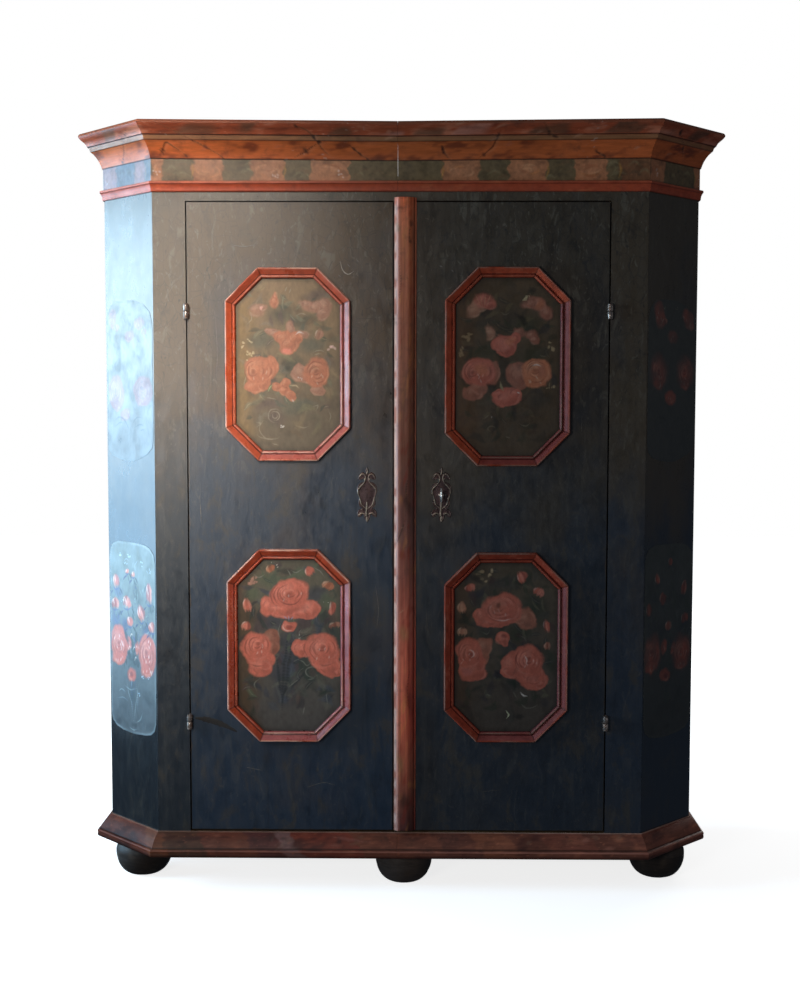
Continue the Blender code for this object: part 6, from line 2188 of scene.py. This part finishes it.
key_low, key_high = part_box("key")
key_iron = iron_material("key_iron", (0.78, 0.74, 0.68), (0.40, 0.30, 0.24), 0.24)
build_key()
for number, (shift, radius) in enumerate(((0.0106, 0.0019), (-0.0068, 0.0014))):
    head = [(0.0, -0.0016), (radius * 0.6, -0.0013), (radius, -0.0004), (radius, 0.0)]
    points, faces = lathe(head, (LOCK_X + shift, FACE_Y - 0.0016, LOCK_Z - 0.001), 20, way="y")
    add(f"plate_nail_{number}", points, faces, "right_door", key_iron)


# Feet


FOOT_CORE = 0.030
FOOT_RADIUS = 0.0715


def foot_line():
    """Radius and height of a bun foot, finely, from its flat top to its sole."""
    head = FOOT_HEIGHT - FIT
    widest = 0.74 * head
    points = [(FOOT_CORE, head), (0.064, head)]
    points += bowed(points[-1], (FOOT_RADIUS, widest), 0.0022, 8)
    for turn in np.linspace(0, math.pi / 2, 22)[1:]:
        radius = FOOT_CORE + (FOOT_RADIUS - FOOT_CORE) * math.cos(turn)
        points.append((radius, widest * (1 - math.sin(turn))))
    return points + [(0.012, 0.0)]


black = painted_material("black_foot_paint", (30, 30, 220), 0.48, 0.2, 0.1, 0.22)


def build_foot(name, x, y, seed):
    points, faces = lathe(foot_line(), (x, y, 0.0), 72)
    flat = points[:, :2] - (x, y)
    radius = np.hypot(*flat.T)
    wear_and_highlight = 0.0009 * ease(0, 1, noise(points * (1, 1, 1.6), 0.020, seed))
    wear_and_highlight = wear_and_highlight + 0.0004 * ease(0, 1, noise(points, 0.007, seed + 1))
    inner = (radius > 0.035) & (points[:, 2] < FOOT_HEIGHT - 0.004)
    points[:, :2] -= flat * (wear_and_highlight * inner / np.maximum(radius, 1e-6))[:, None]
    rgb = np.tile(np.array([0.036, 0.028, 0.024]) * (2.0 if "centre" in name else 1.0), (len(points), 1))
    lit = noise(points, 0.018, seed + 2)
    rgb = blend(rgb, np.array([0.085, 0.062, 0.046]), 0.7 * ease(0.2, 0.9, lit))
    rgb = blend(
        rgb, np.array([0.10, 0.068, 0.045]),
        0.6 * ease(0.45, 0.9, noise(points * (1, 1, 2), 0.008, seed + 3)),
    )
    add(f"{name}_turned", points, faces, "carcass", black, [name], rgb, sharp=40)


FOOT_X = 0.6595
FOOT_FRONT_Y = -0.1255
FOOT_BACK_Y = 0.1995
FEET = {
    "foot_front_left": (-FOOT_X, FOOT_FRONT_Y),
    "foot_front_right": (FOOT_X, FOOT_FRONT_Y),
    "foot_front_centre": (0.011, -0.1725),
    "foot_back_left": (-FOOT_X, FOOT_BACK_Y),
    "foot_back_right": (FOOT_X, FOOT_BACK_Y),
}
for seed, (name, (x, y)) in enumerate(FEET.items()):
    build_foot(name, x, y, 600 + 10 * seed)


# Scratches and chips in the paint, and a painted shadow by the lower left hinge


def scratch(name, body, path, wide, colour):
    """A thin raised line of colour along (x, z) points in millimetres, as bare ground or as a painted shadow.
    """
    line = smooth_path(path) / 1000
    way = np.gradient(line, axis=0)
    way /= np.hypot(*way.T)[:, None]
    across = np.stack([-way[:, 1], way[:, 0]], 1)
    share = np.linspace(0, 1, len(line))
    half = wide / 2000 * (0.25 + 0.75 * np.sin(math.pi * share)) * (1 + 0.3 * noise(line, 0.006, 701))
    points = []
    for spot, side_way, reach in zip(line, across, half):
        for shift, lift in ((-1, 0.00003), (-0.5, 0.00016), (0.5, 0.00016), (1, 0.00003)):
            x, z = spot + side_way * reach * shift
            points.append((x, FACE_Y - lift, z))
    rgb = np.tile(colour, (len(points), 1)) * (1 + 0.25 * noise(np.array(points), 0.004, 702))[:, None]
    add(name, points, skin(len(line), 4), body, scratch_paint, (), rgb)


scratch_paint = painted_material("scratch_paint", (200, 200, 200), 0.5, 0.2, 0.1)
LIGHT_MARK, DIM_MARK = np.array([0.36, 0.33, 0.29]), np.array([0.15, 0.14, 0.125])
# HINGE_SHADOW is a dark mark by the lower left hinge: painted shadow cast by the hinge.
HINGE_SHADOW = np.array([0.017, 0.015, 0.014])
for number, (body, path, wide, colour) in enumerate((
    # The painted shadow cast by the lower left hinge.
    ("left_door", [(-508, 424), (-478, 420), (-440, 408), (-404, 390)], 15, HINGE_SHADOW),
    ("left_door", [(-145, 1550), (-139, 1529), (-126, 1519), (-112, 1526)], 2.4, LIGHT_MARK),
    ("left_door", [(-128, 1544), (-121, 1536)], 2.0, DIM_MARK),
    ("left_door", [(-106, 1556), (-100, 1548)], 1.8, DIM_MARK),
    ("left_door", [(-150, 1518), (-143, 1512)], 1.8, DIM_MARK),
    ("left_door", [(-410, 1590), (-380, 1586), (-352, 1590)], 1.6, DIM_MARK),
    ("left_door", [(-450, 1420), (-446, 1330), (-449, 1260)], 1.4, DIM_MARK),
    ("left_door", [(-492, 980), (-488, 900)], 1.4, DIM_MARK),
    ("left_door", [(-60, 760), (-52, 700), (-56, 650)], 1.4, DIM_MARK),
    ("right_door", [(96, 1540), (104, 1536)], 3.0, DIM_MARK),
    ("right_door", [(126, 1530), (130, 1524)], 2.4, DIM_MARK),
    ("right_door", [(446, 1180), (444, 1120)], 1.2, DIM_MARK * 0.6),
    ("right_door", [(66, 700), (70, 640)], 1.2, DIM_MARK * 0.6),
    ("left_door", [(-380, 300), (-340, 292)], 1.4, DIM_MARK),
    ("left_door", [(-230, 250), (-190, 262), (-160, 256)], 1.4, DIM_MARK * 0.8),
    ("right_door", [(200, 240), (250, 246)], 1.2, DIM_MARK * 0.5),
)):
    scratch(f"scratch_{number}", body, path, wide, colour)


# Boards that stay as the CAD has them


def finish(name, material, bevel=0.0012):
    node = nodes[name]
    node.data.materials.clear()
    node.data.materials.append(material)
    if bevel:
        modifier = node.modifiers.new("worn_edge", "BEVEL")
        modifier.width = bevel
        modifier.segments = 2
        modifier.limit_method = "ANGLE"
        modifier.angle_limit = math.radians(40)
        modifier.harden_normals = True


def board_tone(rng, count):
    """One board's own tone, for each of its points."""
    tone = rng.uniform(0.72, 1.20) * np.array([1.0, rng.uniform(0.96, 1.02), rng.uniform(0.90, 1.04)])
    return np.tile(tone, (count, 1))


# Half of the open joint between two boards, and how far their edges are cut off
JOINT_HALF = 0.0003
BOARD_EDGE = 0.0018


def planks(name, node, count, across, thick, along, material, seed):
    """Boards side by side in place of one node, with chamfered edges that leave open joints between them."""
    low, high = (np.array(end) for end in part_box(node))
    order = [dict(X=0, Y=1, Z=2)[axis] for axis in (across, thick, along)]
    low, high = low[order], high[order]
    rng = np.random.default_rng(seed)
    cuts = np.linspace(low[0], high[0], count + 1)
    cuts[1:-1] += rng.uniform(-0.16, 0.16, count - 1) * (high[0] - low[0]) / count
    parts, tones = [], []
    for first, last in zip(cuts, cuts[1:]):
        sunk = rng.uniform(0.0, 0.0011, 2)
        points, faces = block(
            (first + JOINT_HALF, low[1] + sunk[0], low[2]),
            (last - JOINT_HALF, high[1] - sunk[1] - 0.0009, high[2]),
            0.0020,
        )
        real = np.empty_like(points)
        real[:, order] = points
        parts.append((real, faces))
        tones.append(board_tone(rng, len(points)))
    points, faces = joined(parts)
    add(name, points, faces, "carcass", material, [node], np.concatenate(tones))
    return cuts


def corner_planks(name, node, count, material, seed):
    """Boards along X in place of a floor or roof node, cut off at the cant as the node is."""
    low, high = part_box(node)
    outline = [vertex.co for vertex in nodes[node].data.vertices]
    side = 1 if high.x + low.x > 0 else -1
    seam, far = (low.x, high.x) if side > 0 else (high.x, low.x)
    cut_x = max(abs(co.x) for co in outline if co.y < low.y + 0.001)
    cut_y = min(co.y for co in outline if abs(co.x) > abs(far) - 0.001)
    rng = np.random.default_rng(seed)
    cuts = np.linspace(low.y, high.y, count + 1)
    cuts[1:-1] += rng.uniform(-0.014, 0.014, count - 1)
    parts, tones = [], []
    for first, last in zip(cuts, cuts[1:]):
        near, away = first + JOINT_HALF, last - JOINT_HALF
        bend = min(max(cut_y, near), away)
        rim = [(seam, near)]
        for y in (near, bend, away):
            rim.append((side * float(np.interp(y, [low.y, cut_y], [cut_x, abs(far)])), y))
        rim.append((seam, away))
        rim = np.array(rim)
        inner = rim - np.sign(rim - rim.mean(0)) * BOARD_EDGE
        top, foot = high.z - rng.uniform(0.0, 0.0009), low.z + rng.uniform(0.0, 0.0009)
        rows = [(inner, top), (rim, top - BOARD_EDGE), (rim, foot + BOARD_EDGE), (inner, foot)]
        points = np.concatenate([np.column_stack([ring, np.full(5, z)]) for ring, z in rows])
        parts.append((points, skin(4, 5)))
        tones.append(board_tone(rng, len(points)))
    points, faces = joined(parts)
    add(name, points, faces, "carcass", material, [node], np.concatenate(tones))


def nails(name, spots, depth, seed):
    """Hand-made nail heads in the back boards."""
    rng = np.random.default_rng(seed)
    parts = []
    for x, z in spots:
        radius = rng.uniform(0.0032, 0.0042)
        head = [(0.0, 0.0008), (radius * 0.6, 0.0006), (radius, 0.0001), (radius, -0.0014)]
        parts.append(
            lathe(head, (x + rng.uniform(-0.004, 0.004), depth, z + rng.uniform(-0.004, 0.004)), 12, way="y")
        )
    points, faces = joined(parts)
    add(name, points, faces, "carcass", iron)


CANT_LIMIT = HALF_WIDTH - FACE_Y - 0.004
PAINT_DEPTH = 0.010
# Colours for each side's door, stile and cant. The left door is bluer low and browner high, and the left
# stile browner high: a painted stand-in for the cool and warm reflections of the room. The right door is
# darker all over (painted shade). The left cant is nearly black at its foot (painted shade where the window's
# light falls off).
SIDE_TONES_AND_SHADE = {
    "left": (
        {"low": (0.017, 0.033, 0.060), "high": (0.092, 0.056, 0.029), "rise": (0.62, 1.72)},
        {"low": (0.014, 0.022, 0.032), "high": (0.092, 0.060, 0.033), "rise": (0.55, 1.70)},
        {"low": (0.008, 0.009, 0.011), "foot_gloss": 0.72},
    ),
    "right": ({"low": (0.018, 0.027, 0.042), "high": (0.056, 0.042, 0.027)}, {}, {}),
}
for sign, name in SIDES.items():
    door_tones, stile_tones, cant_tones = SIDE_TONES_AND_SHADE[name]
    low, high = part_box(f"door_{name}")
    rim = (low.x, high.x, low.z, high.z)
    finish(f"door_{name}", body_material(f"door_paint_{name}", rim, low.y + 0.012, **door_tones))
    bare_from = FACE_Y + PAINT_DEPTH
    finish(f"stile_{name}", body_material(f"stile_paint_{name}", back=bare_from, **stile_tones))
    cant = body_material(
        f"cant_paint_{name}", rough=(0.27, 0.33), calm=0.35, inside=(1.0, 1.0, CANT_LIMIT), **cant_tones,
    )
    finish(f"cant_board_{name}", cant)
    low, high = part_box(f"side_board_{name}")
    edge = max(abs(low.x), abs(high.x)) - 0.002
    side_paint = body_material(
        f"side_paint_{name}", high=(0.058, 0.046, 0.034), rough=(0.36, 0.46), calm=0.7,
        inside=(1.0, 0.0, edge),
    )
    finish(f"side_board_{name}", side_paint, 0.0)
    finish(f"top_rail_{name}", body_material(f"rail_paint_{name}", grain=(2.2, 55, 55), back=bare_from))
    back_wood = wood_material(f"back_wood_{name}", "X", "Z")
    cuts = planks(f"back_planks_{name}", f"back_board_{name}", 4, "X", "Y", "Z", back_wood, 800 + sign)
    low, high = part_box(f"back_board_{name}")
    rows = [low.z + 0.030, low.z + 0.60, high.z - 0.36, high.z - 0.028]
    spots = [
        (x, z) for first, last in zip(cuts, cuts[1:]) for x in (first + 0.026, last - 0.026) for z in rows
    ]
    nails(f"back_nails_{name}", spots, high.y - 0.0008, 810 + sign)
    for part, seed in (("floor", 820), ("roof", 830)):
        wood = wood_material(f"{part}_wood_{name}", "Y", "X")
        corner_planks(f"{part}_planks_{name}", f"{part}_board_{name}", 4, wood, seed + sign)
for name, across in (("hat_shelf", "Y"), ("base_back_rail", "Z"), ("hanging_rail", "Z")):
    finish(name, wood_material(f"{name}_wood", across, "X", False))

for name in ("lock_case", "lock_bolt", "bolt_keeper", "turn_button"):
    finish(name, iron, 0.0004)


# Floor, light and camera


def area(name, place, aim, width, height, radiance, colour, spread=math.pi):
    """A soft light of a given brightness, turned to a point."""
    lamp = bpy.data.lights.new(name, "AREA")
    lamp.shape = "RECTANGLE"
    lamp.size, lamp.size_y = width, height
    lamp.energy = radiance * math.pi * width * height
    lamp.color = colour
    lamp.spread = spread
    holder = bpy.data.objects.new(name, lamp)
    bpy.context.scene.collection.objects.link(holder)
    holder.location = place
    holder.rotation_euler = (Vector(aim) - Vector(place)).to_track_quat("-Z", "Y").to_euler()
    holder.visible_camera = False
    return holder


area("window_high", (-3.5, -0.10, 1.60), (0.0, -0.10, 1.60), 2.4, 1.00, 13.0, (0.54, 0.80, 1.0))
area("window_low", (-3.5, -0.10, 1.16), (0.0, -0.10, 1.16), 2.4, 2.12, 8.0, (0.42, 0.71, 1.0))
area("key", (-0.91, -1.74, 2.02), (-0.80, -0.23, 1.21), 1.03, 1.03, 1.55, (1.0, 0.89, 0.76), math.radians(37))
area(
    "sheen", (-1.65, -3.57, 1.20), (-0.50, -0.23, 1.40), 1.13, 0.71, 5.4, (0.98, 0.95, 0.91),
    math.radians(138),
)
area("fill", (3.5, -1.1, 1.5), (0.7, -0.15, 1.1), 1.6, 1.6, 0.22, (0.95, 0.97, 1.0))
area("low_fill", (2.6, -2.3, 0.30), (0.3, -0.2, 0.15), 1.2, 0.8, 0.8, (0.90, 0.90, 1.0))

area("behind", (2.9, 3.7, 2.1), (0.3, 0.3, 0.9), 2.0, 1.8, 5.0, (1.0, 0.97, 0.93))

world = bpy.data.worlds.new("studio")
bpy.context.scene.world = world
world.use_nodes = True
tree = world.node_tree
dim = tree.nodes["Background"]
dim.inputs["Color"].default_value = (0.65, 0.80, 1.0, 1.0)
dim.inputs["Strength"].default_value = 0.05
white = tree.nodes.new("ShaderNodeBackground")
white.inputs["Color"].default_value = (1.0, 1.0, 1.0, 1.0)
chooser = tree.nodes.new("ShaderNodeMixShader")
rays = tree.nodes.new("ShaderNodeLightPath")
tree.links.new(rays.outputs["Is Camera Ray"], chooser.inputs[0])
tree.links.new(dim.outputs[0], chooser.inputs[1])
tree.links.new(white.outputs[0], chooser.inputs[2])
tree.links.new(chooser.outputs[0], tree.nodes["World Output"].inputs["Surface"])

floor_mesh = bpy.data.meshes.new("floor")
FLOOR_HALF, FLOOR_Z = 9, -0.0005
floor_corners = [(x * FLOOR_HALF, y * FLOOR_HALF, FLOOR_Z) for x, y in ((-1, -1), (1, -1), (1, 1), (-1, 1))]
floor_mesh.from_pydata(floor_corners, [], [(0, 1, 2, 3)])
floor = bpy.data.objects.new("floor", floor_mesh)
bpy.context.scene.collection.objects.link(floor)
pale = Shader("pale_floor", roughness=0.9, specular=0.1)
pale.colour((0.80, 0.80, 0.80, 1.0))
away = pale.node("ShaderNodeVectorMath", {0: pale.place}, operation="LENGTH").outputs["Value"]
pale.feed(pale.surface.inputs["Emission Strength"], pale.span(away, 0.6, 2.6, 0.80, 1.0))
pale.surface.inputs["Emission Color"].default_value = (1.0, 1.0, 1.0, 1.0)
floor_mesh.materials.append(pale.material)
floor.visible_glossy = False
floor.visible_diffuse = False

CAMERA_PLACE = Vector((0.0431, -3.5641, 1.1957))
FOCAL_SHARE = 1.3598
YAW, PITCH, ROLL = (math.radians(value) for value in (-0.723, -3.888, 0.074))
forward = Vector((math.sin(YAW) * math.cos(PITCH), math.cos(YAW) * math.cos(PITCH), math.sin(PITCH)))
level = Vector((math.cos(YAW), -math.sin(YAW), 0.0))
upward = level.cross(forward)
across_view = math.cos(ROLL) * level + math.sin(ROLL) * upward
up_view = -math.sin(ROLL) * level + math.cos(ROLL) * upward
lens = bpy.data.cameras.new("camera")
lens.sensor_fit = "VERTICAL"
lens.sensor_height = 36.0
lens.lens = FOCAL_SHARE * lens.sensor_height
camera = bpy.data.objects.new("camera", lens)
bpy.context.scene.collection.objects.link(camera)
view_axes = Matrix((across_view, up_view, -forward)).transposed().to_4x4()
camera.matrix_world = Matrix.Translation(CAMERA_PLACE) @ view_axes
bpy.context.scene.camera = camera
bpy.context.scene.view_settings.view_transform = "Standard"
